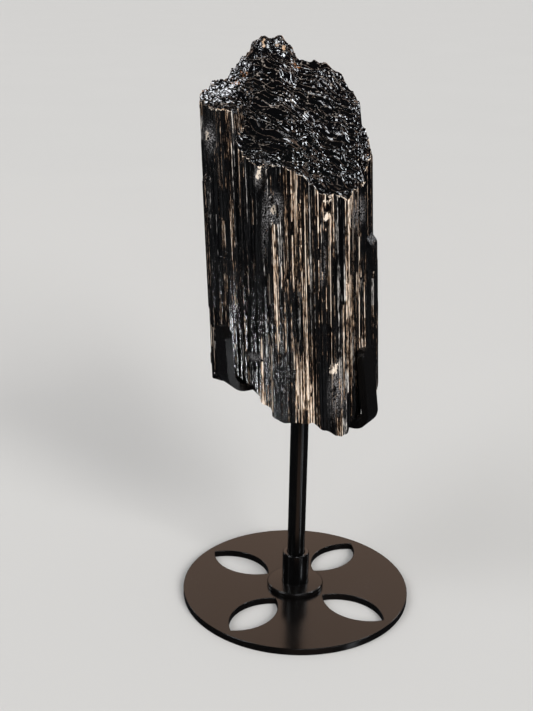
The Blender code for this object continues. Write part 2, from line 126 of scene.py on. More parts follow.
# Lumps of small crystals on the top: x, y, radius and height in millimetres
TOP_LUMPS = (
    (-47, 2, 6.5, 3.5), (-41, 12, 6.0, 3.5), (-49, 14, 5.5, 3.0), (-37, 20, 5.0, 3.0), (-45, -9, 5.5, 2.5),
    (-25, 26, 5.5, 2.4), (-15, 25, 5.0, 2.0), (-34, 4, 6.0, -4.0), (-23, -33, 5.5, -4.5),
)
TOP_STEPS = ((-16, 14, 2.4), (2, 4, -2.0), (10, -14, 1.8))
TOP_STEP_HEADING = math.radians(-32.0)
TOP_STEP_FALL = 3.0
# Column at the left front that ends higher than the broken top beside it: x of its edge at y, its slope, height
COLUMN_EDGE = (-39.5, -27.0, 0.42)
COLUMN_TOP = (278.5, -10.0, 0.20)
COLUMN_FALL = 1.6
# Smaller lumps and dips of the peak: x, y, radius and height in millimetres
TOP_DETAIL = ((-18.6, 24.0, 2.6, -3.2), (-23.0, 24.0, 3.0, 1.2), (-14.0, 24.0, 3.0, 0.9), (-40.0, 22.0, 2.2, 1.6),
              (-33.0, 26.0, 2.0, 1.6), (29.0, 10.0, 2.6, 1.5), (-54.0, -6.0, 5.0, -3.5), (-54.0, 3.0, 5.0, -3.0),
              (-53.0, 12.0, 4.5, -3.0), (-8.0, -36.0, 6.5, -3.8), (-1.0, -37.0, 6.0, -2.8), (3.0, 25.0, 2.4, 1.5),
              (12.0, 22.0, 2.4, 1.7), (18.5, 19.0, 2.2, 1.6), (24.0, 13.0, 2.4, 1.8), (28.5, 2.0, 2.6, 1.8))
TOP_KNEE = 4.0
# Ripples of the broken top: the way they follow one another, and how far apart they are in millimetres
RIPPLE_HEADING = Vector((0.36, 0.42, 0.76))
RIPPLE_SPACING = 2.6
# Broken foot: height of its rim by azimuth (degrees, millimetres)
FOOT_RIM = (
    (-172, 133), (-163, 137), (-157, 142), (-144, 142), (-136, 138), (-128, 135), (-120, 128), (-110, 123),
    (-100, 120.5), (-78, 120.5), (-69, 116.5), (-55, 111.6), (-46, 113), (-39, 115.5), (-33, 119), (-21, 121), (-12, 123),
    (8, 125), (40, 127), (70, 129), (110, 129), (140, 127), (165, 130), (180, 132.5), (188, 133),
)
FOOT_MIDDLE_Z = 128.5
FOOT_RIM_POWER = 2.6
FOOT_WAVE_HEIGHT = 1.2
SEAT_GAP = 0.4 * MM
SEAT_MARGIN = 4.4 * MM
SEAT_FALL = 3.0
SEAT_LEAD = 2.0 * MM
PRONG_FACING = 0.5

# Fine ribs of the sides
FINE_RIB_COUNT = 168
FINE_RIB_SEED = 5
FINE_RIB_JITTER = 0.42
FINE_RIB_SET_BACK = 0.85
FINE_RIB_ROUNDING = 0.38
FINE_RIB_BREAKS = 6

# Stand
LEAF_COUNT = 4
LEAF_FIRST_ANGLE = math.radians(-36.4)
LEAF_INNER_TIP = 19.4 * MM
LEAF_OUTER_TIP = 60.2 * MM
LEAF_HALF_WIDTH = 10.7 * MM
ROD_RADIUS = 5.0 * MM
HUB_BOTTOM_Z = 112.0 * MM
HUB_TOP_Z = 125.5 * MM
HUB_ACROSS_FLATS = 21.0 * MM
HUB_TURN = math.radians(30.0)
BAR_WIDTH = 12.0 * MM
BAR_THICKNESS = 4.0 * MM
ELBOW_RADIUS = 6.0 * MM
ARM_START = HUB_ACROSS_FLATS / 2
# Each prong: azimuth, height where its arm starts, elbows, bend and its radius, tip; in degrees and millimetres
PRONGS = {
    "prong_front_left": (-150.0, 121.0, ((16.5, 121.0), (31.0, 135.8)), (45.3, 135.8), 9.0, (48.2, 170.2)),
    "prong_front_right": (-30.0, 115.2, (), (42.9, 115.2), 6.5, (36.9, 157.2)),
    "prong_back": (90.0, 118.0, ((17.0, 118.0), (27.0, 123.0)), (40.6, 123.0), 8.0, (40.6, 163.0)),
}


class StandSettings(bpy.types.PropertyGroup):
    """Sizes and colours of the metal stand."""

    plate_bevel: bpy.props.FloatProperty(
        name="Plate edge rounding", description="Radius of the rounding along the foot plate's edges",
        default=0.5 * MM, min=0.1 * MM, max=1.5 * MM, unit="LENGTH", subtype="DISTANCE")
    bar_bevel: bpy.props.FloatProperty(
        name="Bar edge rounding", description="Radius of the rounding along the prongs' edges",
        default=1.2 * MM, min=0.1 * MM, max=1.5 * MM, unit="LENGTH", subtype="DISTANCE")
    turned_steps: bpy.props.IntProperty(
        name="Turned steps", description="Faces round the rod, the sleeve and the flange",
        default=96, min=24, max=256)
    satin_colour: bpy.props.FloatVectorProperty(
        name="Satin paint", description="Colour of the plate, the hub and the prongs",
        default=(0.0021, 0.0018, 0.0017), size=3, min=0.0, max=1.0, subtype="COLOR")
    gloss_colour: bpy.props.FloatVectorProperty(
        name="Gloss paint", description="Colour of the rod and the sleeve",
        default=(0.0014, 0.0013, 0.0013), size=3, min=0.0, max=1.0, subtype="COLOR")


class CrystalSettings(bpy.types.PropertyGroup):
    """Detail and colours of the crystal."""

    cells: bpy.props.IntProperty(
        name="Cells", description="Cells across the crystal's broken top", default=156, min=20, max=160)
    rows: bpy.props.IntProperty(
        name="Rows", description="Rows of faces up the crystal's sides", default=92, min=10, max=96)
    foot_rings: bpy.props.IntProperty(
        name="Foot rings", description="Rings of faces across the crystal's foot", default=12, min=3, max=20)
    stone_colour: bpy.props.FloatVectorProperty(
        name="Stone", description="Colour of the black stone", default=(0.0012, 0.0012, 0.0014), size=3,
        min=0.0, max=1.0, subtype="COLOR")
    tan_colour: bpy.props.FloatVectorProperty(
        name="Tan staining", description="Colour of the stained streaks", default=(0.50, 0.305, 0.17), size=3,
        min=0.0, max=1.0, subtype="COLOR")
    cream_colour: bpy.props.FloatVectorProperty(
        name="Pale flecks", description="Colour of the palest streaks and chips", default=(0.86, 0.74, 0.62),
        size=3, min=0.0, max=1.0, subtype="COLOR")
    stain_amount: bpy.props.FloatProperty(
        name="Staining", description="How much of the sides is stained", default=0.5, min=0.0, max=1.0,
        subtype="FACTOR")
    chip_count: bpy.props.IntProperty(
        name="Small crystals", description="Small crystals that cover the top's shoulder and peak",
        default=760, min=0, max=1500)
    splinter_count: bpy.props.IntProperty(
        name="Splinters", description="Thin needles that stand along the sides", default=230, min=0, max=600)


class StudioSettings(bpy.types.PropertyGroup):
    """Floor, light and camera."""

    floor_colour: bpy.props.FloatVectorProperty(
        name="Floor", description="Colour of the floor", default=(0.66, 0.65, 0.635), size=3,
        min=0.0, max=1.0, subtype="COLOR")
    lens: bpy.props.FloatProperty(
        name="Lens", description="Focal length for a frame 36 mm high", default=55.069, min=10.0, max=200.0)
    tilt: bpy.props.FloatProperty(
        name="Camera tilt", description="Angle of the camera up from straight down",
        default=math.radians(70.468), unit="ROTATION", subtype="ANGLE")
    roll: bpy.props.FloatProperty(
        name="Camera roll", description="Turn of the camera about its own axis",
        default=math.radians(1.0147), unit="ROTATION", subtype="ANGLE")


def node(tree, kind, inputs=None, **settings):
    """Adds a shader node, sets it, and links or fills its inputs."""
    made = tree.nodes.new(kind)
    for key, value in settings.items():
        setattr(made, key, value)
    for key, value in (inputs or {}).items():
        if isinstance(value, bpy.types.NodeSocket):
            tree.links.new(value, made.inputs[key])
        else:
            made.inputs[key].default_value = value
    return made


def sums(tree, operation, first, second, third=0.5, clamp=False):
    """A Math node's output."""
    return node(tree, "ShaderNodeMath", {0: first, 1: second, 2: third},
                operation=operation, use_clamp=clamp).outputs[0]


def mapped(tree, value, low, high, new_low=0.0, new_high=1.0):
    """Value moved from one range to another, held at its ends."""
    return node(tree, "ShaderNodeMapRange", {
        "Value": value, "From Min": low, "From Max": high, "To Min": new_low, "To Max": new_high,
    }, clamp=True, interpolation_type="SMOOTHSTEP").outputs["Result"]


def mixed(tree, share, first, second, blend="MIX"):
    """A colour between two others."""
    return node(tree, "ShaderNodeMix", {0: share, 6: first, 7: second},
                data_type="RGBA", blend_type=blend).outputs[2]


def stretched(tree, place, scale, turn=(0.0, 0.0, 0.0), kind="ShaderNodeTexNoise", **inputs):
    """A noise whose cells are stretched along axes that are turned first."""
    turned_place = node(tree, "ShaderNodeMapping", {"Vector": place, "Rotation": turn})
    sized_place = node(tree, "ShaderNodeMapping", {"Vector": turned_place.outputs[0], "Scale": scale})
    return node(tree, kind, {"Vector": sized_place.outputs[0], "Scale": 1.0, **inputs})


def group(name, inputs, outputs):
    """An empty node group with named sockets: its tree, and its input and output nodes."""
    tree = bpy.data.node_groups.new(name, "ShaderNodeTree")
    for label, kind, default in inputs:
        socket = tree.interface.new_socket(name=label, in_out="INPUT", socket_type=kind)
        if default is not None:
            socket.default_value = default
    for label, kind in outputs:
        tree.interface.new_socket(name=label, in_out="OUTPUT", socket_type=kind)
    return tree, tree.nodes.new("NodeGroupInput"), tree.nodes.new("NodeGroupOutput")


def placed(tree, which, **inputs):
    """A node group put into a material."""
    return node(tree, "ShaderNodeGroup", {k.replace("_", " "): v for k, v in inputs.items()}, node_tree=which)


def streak_group():
    """Streaks along the crystal's leaning axis: how strong the staining is, and the height of the striations."""
    tree, given, out = group("Streaks", [
        ("Place", "NodeSocketVector", None), ("Rib stain", "NodeSocketFloat", 0.5),
        ("Amount", "NodeSocketFloat", 0.5),
    ], [("Stain", "NodeSocketFloat"), ("Height", "NodeSocketFloat")])
    place = given.outputs["Place"]
    lean = (0.0, -LEAN_PER_METRE, 0.0)
    broad = stretched(tree, place, (170, 170, 8), lean, Detail=2.0, Roughness=0.5).outputs[0]
    thin = stretched(tree, place, (1250, 1250, 11), lean, Detail=2.0, Roughness=0.6).outputs[0]
    hair = stretched(tree, place, (2600, 2600, 20), lean, Detail=2.0, Roughness=0.6).outputs[0]
    fleck = stretched(tree, place, (1900, 1900, 260), lean, Detail=3.0, Roughness=0.65).outputs[0]
    pull = sums(tree, "MULTIPLY_ADD", given.outputs["Rib stain"], 0.42, sums(tree, "MULTIPLY", broad, 0.5))
    pull = sums(tree, "MULTIPLY_ADD", thin, 1.1, pull)
    pull = sums(tree, "MULTIPLY_ADD", hair, 1.2, pull)
    pull = sums(tree, "MULTIPLY_ADD", fleck, 0.95, pull)
    pull = sums(tree, "MULTIPLY_ADD", given.outputs["Amount"], 0.3, pull)
    stain = node(tree, "ShaderNodeMapRange", {"Value": pull, "From Min": 2.21, "From Max": 2.71}).outputs[0]
    height = sums(tree, "MULTIPLY_ADD", thin, 0.6, sums(tree, "MULTIPLY", hair, 0.5))
    tree.links.new(stain, out.inputs["Stain"])
    tree.links.new(height, out.inputs["Height"])
    return tree


def facet_group():
    """Small flat facets, each tilted its own way: their height, and a random value for each."""
    tree, given, out = group("Facets", [
        ("Place", "NodeSocketVector", None), ("Cells per metre", "NodeSocketFloat", 700.0),
        ("Stretch", "NodeSocketVector", (1.0, 1.0, 1.0)),
    ], [("Height", "NodeSocketFloat"), ("Random", "NodeSocketFloat"), ("Distance", "NodeSocketFloat")])
    sized = node(tree, "ShaderNodeVectorMath", {0: given.outputs["Place"], 1: given.outputs["Stretch"]},
                 operation="MULTIPLY").outputs[0]
    scaled = node(tree, "ShaderNodeVectorMath", {0: sized, "Scale": given.outputs["Cells per metre"]},
                  operation="SCALE").outputs[0]
    cells = node(tree, "ShaderNodeTexVoronoi", {"Vector": scaled, "Scale": 1.0, "Randomness": 1.0})
    away = node(tree, "ShaderNodeVectorMath", {0: scaled, 1: cells.outputs["Position"]},
                operation="SUBTRACT").outputs[0]
    tilt = node(tree, "ShaderNodeVectorMath", {0: cells.outputs["Color"], 1: (0.5, 0.5, 0.5)},
                operation="SUBTRACT").outputs[0]
    height = node(tree, "ShaderNodeVectorMath", {0: away, 1: tilt}, operation="DOT_PRODUCT").outputs["Value"]
    parts = node(tree, "ShaderNodeSeparateColor", {0: cells.outputs["Color"]})
    tree.links.new(sums(tree, "ADD", height, 0.5), out.inputs["Height"])
    tree.links.new(parts.outputs[0], out.inputs["Random"])
    tree.links.new(cells.outputs["Distance"], out.inputs["Distance"])
    return tree


def grain_group():
    """Fine grain of sprayed paint and thin dust on what faces up."""
    tree, given, out = group("Paint grain", [
        ("Place", "NodeSocketVector", None), ("Normal", "NodeSocketVector", None),
        ("Dust", "NodeSocketFloat", 0.3),
    ], [("Height", "NodeSocketFloat"), ("Dust", "NodeSocketFloat"), ("Cloud", "NodeSocketFloat")])
    place = given.outputs["Place"]
    grain = stretched(tree, place, (2600, 2600, 2600), Detail=2.0).outputs[0]
    cloud = stretched(tree, place, (38, 38, 38), Detail=3.0).outputs[0]
    motes = stretched(tree, place, (900, 900, 900), kind="ShaderNodeTexVoronoi")
    up = node(tree, "ShaderNodeSeparateXYZ", {0: given.outputs["Normal"]}).outputs[2]
    spots = sums(tree, "MULTIPLY", mapped(tree, motes.outputs["Distance"], 0.16, 0.08),
                 mapped(tree, cloud, 0.45, 0.7))
    dust = sums(tree, "MULTIPLY", sums(tree, "MULTIPLY", spots, mapped(tree, up, 0.6, 0.95)),
                given.outputs["Dust"])
    tree.links.new(grain, out.inputs["Height"])
    tree.links.new(dust, out.inputs["Dust"])
    tree.links.new(cloud, out.inputs["Cloud"])
    return tree


def shared_group(name, make):
    """A node group that is built once and then shared."""
    return bpy.data.node_groups.get(name) or make()


def new_material(name):
    """A material with its Principled shader and its Object coordinates."""
    mat = bpy.data.materials.new(name)
    mat.use_nodes = True
    tree = mat.node_tree
    return mat, tree, tree.nodes["Principled BSDF"], node(tree, "ShaderNodeTexCoord").outputs["Object"]


def set_inputs(tree, shader, values):
    """Links or fills a shader's inputs by name."""
    for key, value in values.items():
        if isinstance(value, bpy.types.NodeSocket):
            tree.links.new(value, shader.inputs[key])
        else:
            shader.inputs[key].default_value = value


def paint_material(name, colour, roughness, coat):
    """Sprayed black paint with fine grain, faint cloudiness and a little dust."""
    mat, tree, shader, place = new_material(name)
    normal = node(tree, "ShaderNodeNewGeometry").outputs["Normal"]
    grain = placed(tree, shared_group("Paint grain", grain_group), Place=place, Normal=normal, Dust=0.25)
    base = (*colour, 1.0)
    bright = tuple(min(1.0, value * 1.5) for value in colour) + (1.0,)
    tinted = mixed(tree, mapped(tree, grain.outputs["Cloud"], 0.3, 0.75), base, bright)
    dusty = mixed(tree, grain.outputs["Dust"], tinted, (0.32, 0.30, 0.28, 1.0))
    bump = node(tree, "ShaderNodeBump", {"Height": grain.outputs["Height"], "Strength": 0.25, "Distance": 0.00004})
    set_inputs(tree, shader, {
        "Base Color": dusty,
        "Roughness": mapped(tree, grain.outputs["Cloud"], 0.2, 0.8, roughness - 0.03, roughness + 0.05),
        "Metallic": 0.0, "Coat Weight": coat, "Coat Roughness": 0.12, "Normal": bump.outputs[0],
    })
    return mat


def side_material(settings):
    """Glassy black stone with stain-streaked striations, painted light and shade, grey streaks whose brightest steps
    are painted highlights, and painted glints on its rough spots, for the crystal's sides and splinters.
    """
    mat, tree, shader, place = new_material("tourmaline_sides")
    rib_stain, rib_tone, bruise, crumble = (
        node(tree, "ShaderNodeAttribute", attribute_name=name).outputs["Fac"]
        for name in ("stain", "tone", "bruise", "druse"))
    streaks = placed(tree, shared_group("Streaks", streak_group), Place=place, Rib_stain=rib_stain,
                     Amount=settings.stain_amount)
    facets = placed(tree, shared_group("Facets", facet_group), Place=place, Cells_per_metre=1500.0,
                    Stretch=(1.0, 1.0, 0.6))
    stain = sums(tree, "MULTIPLY", streaks.outputs["Stain"], mapped(tree, crumble, 0.0, 1.0, 1.0, 0.75))
    warm = node(tree, "ShaderNodeValToRGB", {0: stain})
    # Grey ramp: grey staining whose brightest steps are painted highlights along the ribs
    grey_and_highlight = node(tree, "ShaderNodeValToRGB", {0: stain})
    black = (*settings.stone_colour, 1.0)
    cream = (*settings.cream_colour, 1.0)
    tan = (*settings.tan_colour, 1.0)
    for ramp, stops in (
        (warm.color_ramp, ((0.28, black), (0.44, (0.009, 0.006, 0.005, 1.0)), (0.57, (0.036, 0.023, 0.015, 1.0)),
                           (0.68, (0.15, 0.09, 0.054, 1.0)), (0.80, tan), (0.92, cream))),
        (grey_and_highlight.color_ramp, ((0.30, black), (0.48, (0.009, 0.009, 0.009, 1.0)), (0.62, (0.042, 0.039, 0.038, 1.0)),
                             (0.76, (0.20, 0.185, 0.175, 1.0)), (0.95, (0.78, 0.74, 0.70, 1.0)))),
    ):
        ramp.elements[0].position, ramp.elements[0].color = stops[0]
        ramp.elements[1].position, ramp.elements[1].color = stops[-1]
        for position, colour in stops[1:-1]:
            element = ramp.elements.new(position)
            element.color = colour
    greyness = mapped(tree, sums(tree, "MULTIPLY_ADD", crumble, 0.6, rib_tone), 0.76, 0.84)
    coloured = mixed(tree, greyness, warm.outputs[0], grey_and_highlight.outputs[0])
    ragged = stretched(tree, place, (700, 700, 500), Detail=4.0, Roughness=0.7).outputs[0]
    # Painted glints: bright grey specks in base colour over the rough druse spots
    sugar = stretched(tree, place, (2100, 2100, 1500), Detail=2.0, Roughness=0.6).outputs[0]
    painted_glint = sums(tree, "MULTIPLY", mapped(tree, sugar, 0.46, 0.66), crumble)
    coloured = mixed(tree, painted_glint, coloured, (0.62, 0.60, 0.61, 1.0))
    flecks = mapped(tree, sums(tree, "MULTIPLY_ADD", ragged, 3.2, bruise), 2.36, 2.50)
    coloured = mixed(tree, flecks, coloured, cream)
    height = sums(tree, "MULTIPLY_ADD", facets.outputs["Height"], mapped(tree, crumble, 0.0, 0.7, 0.12, 1.2),
                  streaks.outputs["Height"])
    bump = node(tree, "ShaderNodeBump", {"Height": height, "Strength": 0.9, "Distance": 0.0006})
    dull = sums(tree, "MAXIMUM", stain, flecks)
    set_inputs(tree, shader, {
        "Base Color": coloured, "Roughness": mapped(tree, dull, 0.3, 1.0, 0.12, 0.6),
        "Normal": bump.outputs[0], "IOR": 1.63,
    })
    return mat


def break_material(settings):
    """Fresh broken stone: black shells that glitter where they crumble, from bumped facets and painted glints, tan
    ripple lines that are partly painted highlights along their ridges, pale cracks and rusty specks.
    """
    mat, tree, shader, place = new_material("tourmaline_break")
    bruise, crumble, ripple = (node(tree, "ShaderNodeAttribute", attribute_name=name).outputs["Fac"]
                               for name in ("bruise", "druse", "ripple"))
    make = shared_group("Facets", facet_group)
    coarse = placed(tree, make, Place=place, Cells_per_metre=520.0, Stretch=(0.6, 1.0, 1.0))
    fine = placed(tree, make, Place=place, Cells_per_metre=1300.0, Stretch=(0.7, 1.0, 1.0))
    ragged = stretched(tree, place, (600, 900, 900), Detail=3.0, Roughness=0.6).outputs[0]
    phase = sums(tree, "MULTIPLY_ADD", ragged, 0.5, ripple)
    away = node(tree, "ShaderNodeMath", {0: phase, 1: 0.5}, operation="PINGPONG").outputs[0]
    swell = node(tree, "ShaderNodeMath", {0: ripple, 1: 0.5}, operation="PINGPONG").outputs[0]
    region = stretched(tree, place, (90, 150, 150), Detail=2.0).outputs[0]
    cluster = stretched(tree, place, (150, 190, 190), Detail=3.0, Roughness=0.6).outputs[0]
    level = node(tree, "ShaderNodeSeparateXYZ", {0: place}).outputs[2]
    upper = mapped(tree, level, 0.258, 0.282, 0.35, 1.0)
    # Ripple lines: tan staining along the ripple ridges, partly a painted highlight on them
    lines = sums(tree, "MULTIPLY", mapped(tree, away, 0.065, 0.02), mapped(tree, region, 0.32, 0.50))
    lines = sums(tree, "MULTIPLY", lines, sums(tree, "MULTIPLY", upper, mapped(tree, ragged, 0.40, 0.52)))
    cluster = sums(tree, "MULTIPLY_ADD", upper, 0.15, sums(tree, "SUBTRACT", cluster, 0.13))
    crumbs = mapped(tree, sums(tree, "MULTIPLY_ADD", crumble, 0.34, cluster), 0.73, 0.83)
    bend = stretched(tree, place, (240, 240, 240), Detail=3.0).outputs["Color"]
    bent = node(tree, "ShaderNodeVectorMath", {0: bend, 1: (0.005, 0.005, 0.005), 2: place},
                operation="MULTIPLY_ADD").outputs[0]
    shells = stretched(tree, bent, (62, 150, 150), kind="ShaderNodeTexVoronoi")
    shells.feature = "DISTANCE_TO_EDGE"
    cracks = sums(tree, "MULTIPLY", mapped(tree, shells.outputs["Distance"], 0.032, 0.008),
                  sums(tree, "MULTIPLY", upper, mapped(tree, ragged, 0.48, 0.60)))
    # Painted glints: white-blue specks in base colour, thickest where the top crumbles
    specks = stretched(tree, place, (800, 1150, 1150), Detail=3.0, Roughness=0.62).outputs[0]
    near = mapped(tree, sums(tree, "MULTIPLY_ADD", crumble, 0.3, cluster), 0.52, 0.72)
    chance = sums(tree, "MULTIPLY_ADD", near, 0.10, specks)
    chance = sums(tree, "MULTIPLY_ADD", crumble, 0.06, chance)
    painted_glint = mapped(tree, chance, 0.738, 0.756)
    rust = sums(tree, "MULTIPLY", mapped(tree, fine.outputs["Random"], 0.70, 0.75),
                mapped(tree, region, 0.63, 0.67))
    rust = sums(tree, "MULTIPLY", rust, mapped(tree, crumble, 0.15, 0.5))
    black = (*settings.stone_colour, 1.0)
    coloured = mixed(tree, lines, black, (0.125, 0.092, 0.074, 1.0))
    coloured = mixed(tree, cracks, coloured, (0.28, 0.24, 0.21, 1.0))
    coloured = mixed(tree, rust, coloured, (0.30, 0.12, 0.04, 1.0))
    coloured = mixed(tree, painted_glint, coloured, (0.86, 0.88, 0.94, 1.0))
    rim = mapped(tree, sums(tree, "MULTIPLY_ADD", fine.outputs["Random"], 0.45, bruise), 0.80, 1.0)
    paleness = sums(tree, "MULTIPLY", mapped(tree, ragged, 0.40, 0.55), mapped(tree, level, 0.300, 0.285, 0.3, 1.0))
    pale = mixed(tree, paleness, (*settings.tan_colour, 1.0), (*settings.cream_colour, 1.0))
    coloured = mixed(tree, rim, coloured, pale)
    rough = sums(tree, "MULTIPLY", sums(tree, "ADD", coarse.outputs["Height"], fine.outputs["Height"]),
                 mapped(tree, crumbs, 0.0, 1.0, 0.01, 0.4))
    height = sums(tree, "MULTIPLY_ADD", swell, -0.6, rough)
    bump = node(tree, "ShaderNodeBump", {"Height": height, "Strength": 0.8, "Distance": 0.0008})
    set_inputs(tree, shader, {
        "Base Color": coloured,
        "Roughness": mapped(tree, sums(tree, "MAXIMUM", rim, lines), 0.0, 1.0, 0.075, 0.45),
        "Normal": bump.outputs[0], "IOR": 1.63,
    })
    return mat


def shared_material(name, make, *values):
    """A material that is built once and then shared."""
    return bpy.data.materials.get(name) or make(*values)


def finish_piece(bm, name, mats, node_name, sharp_angle=35.0):
    """Turns a bmesh into a piece that stands for a node of the frame."""
    mesh = bpy.data.meshes.new(name)
    bm.to_mesh(mesh)
    bm.free()
    mesh.shade_smooth()
    mesh.set_sharp_from_angle(angle=math.radians(sharp_angle))
    for mat in mats:
        mesh.materials.append(mat)
    obj = bpy.data.objects.new(name, mesh)
    bpy.context.scene.collection.objects.link(obj)
    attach(obj, "root")
    if node_name:
        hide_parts(node_name)
    return obj


def spun(name, profile, steps, mat, node_name):
    """A closed turned piece: the (radius, z) profile is spun round the rod's axis."""
    bm = bmesh.new()
    verts = [bm.verts.new((radius, 0.0, z)) for radius, z in profile]
    edges = [bm.edges.new((a, b)) for a, b in zip(verts, verts[1:] + verts[:1])]
    bmesh.ops.spin(bm, geom=verts + edges, angle=2 * math.pi, steps=steps, axis=(0, 0, 1), cent=(0, 0, 0),
                   use_merge=True)
    bmesh.ops.remove_doubles(bm, verts=bm.verts, dist=0.001 * MM)
    bmesh.ops.recalc_face_normals(bm, faces=bm.faces)
    return finish_piece(bm, name, [mat], node_name)


def rounded(points, radius, steps=4, closed=True):
    """A profile whose named corners are rounded: each point is (radius, z, rounding share)."""
    made = []
    count = len(points)
    for i, (x, z, share) in enumerate(points):
        corner = Vector((x, z))
        if not share:
            made.append((x, z))
            continue
        before = (Vector(points[(i - 1) % count][:2]) - corner).normalized()
        after = (Vector(points[(i + 1) % count][:2]) - corner).normalized()
        half = before.angle(after) / 2
        size = radius * share
        centre = corner + (before + after).normalized() * (size / math.sin(half))
        start = corner + before * (size / math.tan(half)) - centre
        finish = corner + after * (size / math.tan(half)) - centre
        turn = start.angle(finish)
        for k in range(steps + 1):
            blend = (start * math.sin((1 - k / steps) * turn) + finish * math.sin(k / steps * turn)) / math.sin(turn)
            made.append(tuple(centre + blend))
    return made


def satin_paint():
    stand = bpy.context.scene.tourmaline_stand
    return shared_material("stand_satin", paint_material, "stand_satin", tuple(stand.satin_colour), 0.17, 0.0)


def gloss_paint():
    stand = bpy.context.scene.tourmaline_stand
    return shared_material("stand_gloss", paint_material, "stand_gloss", tuple(stand.gloss_colour), 0.2, 0.3)


def leaf_outline(angle, steps):
    """A leaf of two equal arcs whose tips lie on one radius of the plate."""
    half_length = (LEAF_OUTER_TIP - LEAF_INNER_TIP) / 2
    middle = (LEAF_OUTER_TIP + LEAF_INNER_TIP) / 2
    arc_radius = (half_length ** 2 + LEAF_HALF_WIDTH ** 2) / (2 * LEAF_HALF_WIDTH)
    half_turn = math.asin(half_length / arc_radius)
    points = []
    for side in (1, -1):
        for i in range(steps):
            turn = half_turn * (2 * i / steps - 1)
            along = middle + side * arc_radius * math.sin(turn)
            across = side * (arc_radius * math.cos(turn) - arc_radius + LEAF_HALF_WIDTH)
            points.append((along * math.cos(angle) - across * math.sin(angle),
                           along * math.sin(angle) + across * math.cos(angle)))
    return points


class TOURMALINE_OT_foot_plate(bpy.types.Operator):
    """Makes the round foot plate with its four leaf-shaped cutouts"""

    bl_idname = "tourmaline.foot_plate"
    bl_label = "Foot plate"

    def execute(self, context):
        stand = context.scene.tourmaline_stand
        low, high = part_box("base_plate")
        bm = bmesh.new()
        bmesh.ops.create_circle(bm, cap_ends=False, segments=192, radius=high.x)
        for k in range(LEAF_COUNT):
            points = leaf_outline(LEAF_FIRST_ANGLE + k * 2 * math.pi / LEAF_COUNT, 28)
            verts = [bm.verts.new((x, y, 0.0)) for x, y in points]
            for a, b in zip(verts, verts[1:] + verts[:1]):
                bm.edges.new((a, b))
        bmesh.ops.triangle_fill(bm, use_beauty=True, use_dissolve=False, edges=bm.edges[:])
        bmesh.ops.recalc_face_normals(bm, faces=bm.faces)
        raised = bmesh.ops.extrude_face_region(bm, geom=bm.faces[:], use_keep_orig=True)["geom"]
        raised_verts = [item for item in raised if isinstance(item, bmesh.types.BMVert)]
        bmesh.ops.translate(bm, vec=(0.0, 0.0, high.z - low.z), verts=raised_verts)
        bmesh.ops.recalc_face_normals(bm, faces=bm.faces)
        plate = finish_piece(bm, "foot_plate", [satin_paint()], "base_plate", 30.0)
        edge = plate.modifiers.new("Rounded edges", "BEVEL")
        edge.width = stand.plate_bevel
        edge.segments = 3
        edge.limit_method = "ANGLE"
        edge.angle_limit = math.radians(60.0)
        edge.harden_normals = True
        return {"FINISHED"}


class TOURMALINE_OT_rod_fittings(bpy.types.Operator):
    """Makes the rod, the sleeve that grips its foot and the flange under it"""

    bl_idname = "tourmaline.rod_fittings"
    bl_label = "Rod, sleeve and flange"

    def execute(self, context):
        steps = context.scene.tourmaline_stand.turned_steps
        plate_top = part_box("base_plate")[1].z
        flange_low, flange_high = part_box("flange")
        sleeve_low, sleeve_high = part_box("sleeve")
        top = flange_high.z
        spun("flange_ring", rounded([
            (ROD_RADIUS, top, 0), (flange_high.x, top, 1), (flange_high.x, plate_top, 0.25), (ROD_RADIUS, plate_top, 0),
        ], 1.1 * MM, 6), steps, satin_paint(), "flange")
        radius = sleeve_high.x - 0.3 * MM
        spun("rod_sleeve", rounded([
            (ROD_RADIUS, sleeve_high.z - 0.5 * MM, 0), (ROD_RADIUS + 0.4 * MM, sleeve_high.z, 0.3),
            (radius, sleeve_high.z, 1), (radius, top + 0.5 * MM, 0.3), (radius + 0.3 * MM, top, 0),
            (ROD_RADIUS, top, 0),
        ], 0.9 * MM, 5), steps, gloss_paint(), "sleeve")
        bm = bmesh.new()
        bmesh.ops.create_cone(bm, cap_ends=True, segments=steps, radius1=ROD_RADIUS - 0.01 * MM,
                              radius2=ROD_RADIUS - 0.01 * MM, depth=HUB_BOTTOM_Z - plate_top)
        bmesh.ops.translate(bm, vec=(0.0, 0.0, (HUB_BOTTOM_Z + plate_top) / 2), verts=bm.verts)
        finish_piece(bm, "round_rod", [gloss_paint()], "rod")
        return {"FINISHED"}


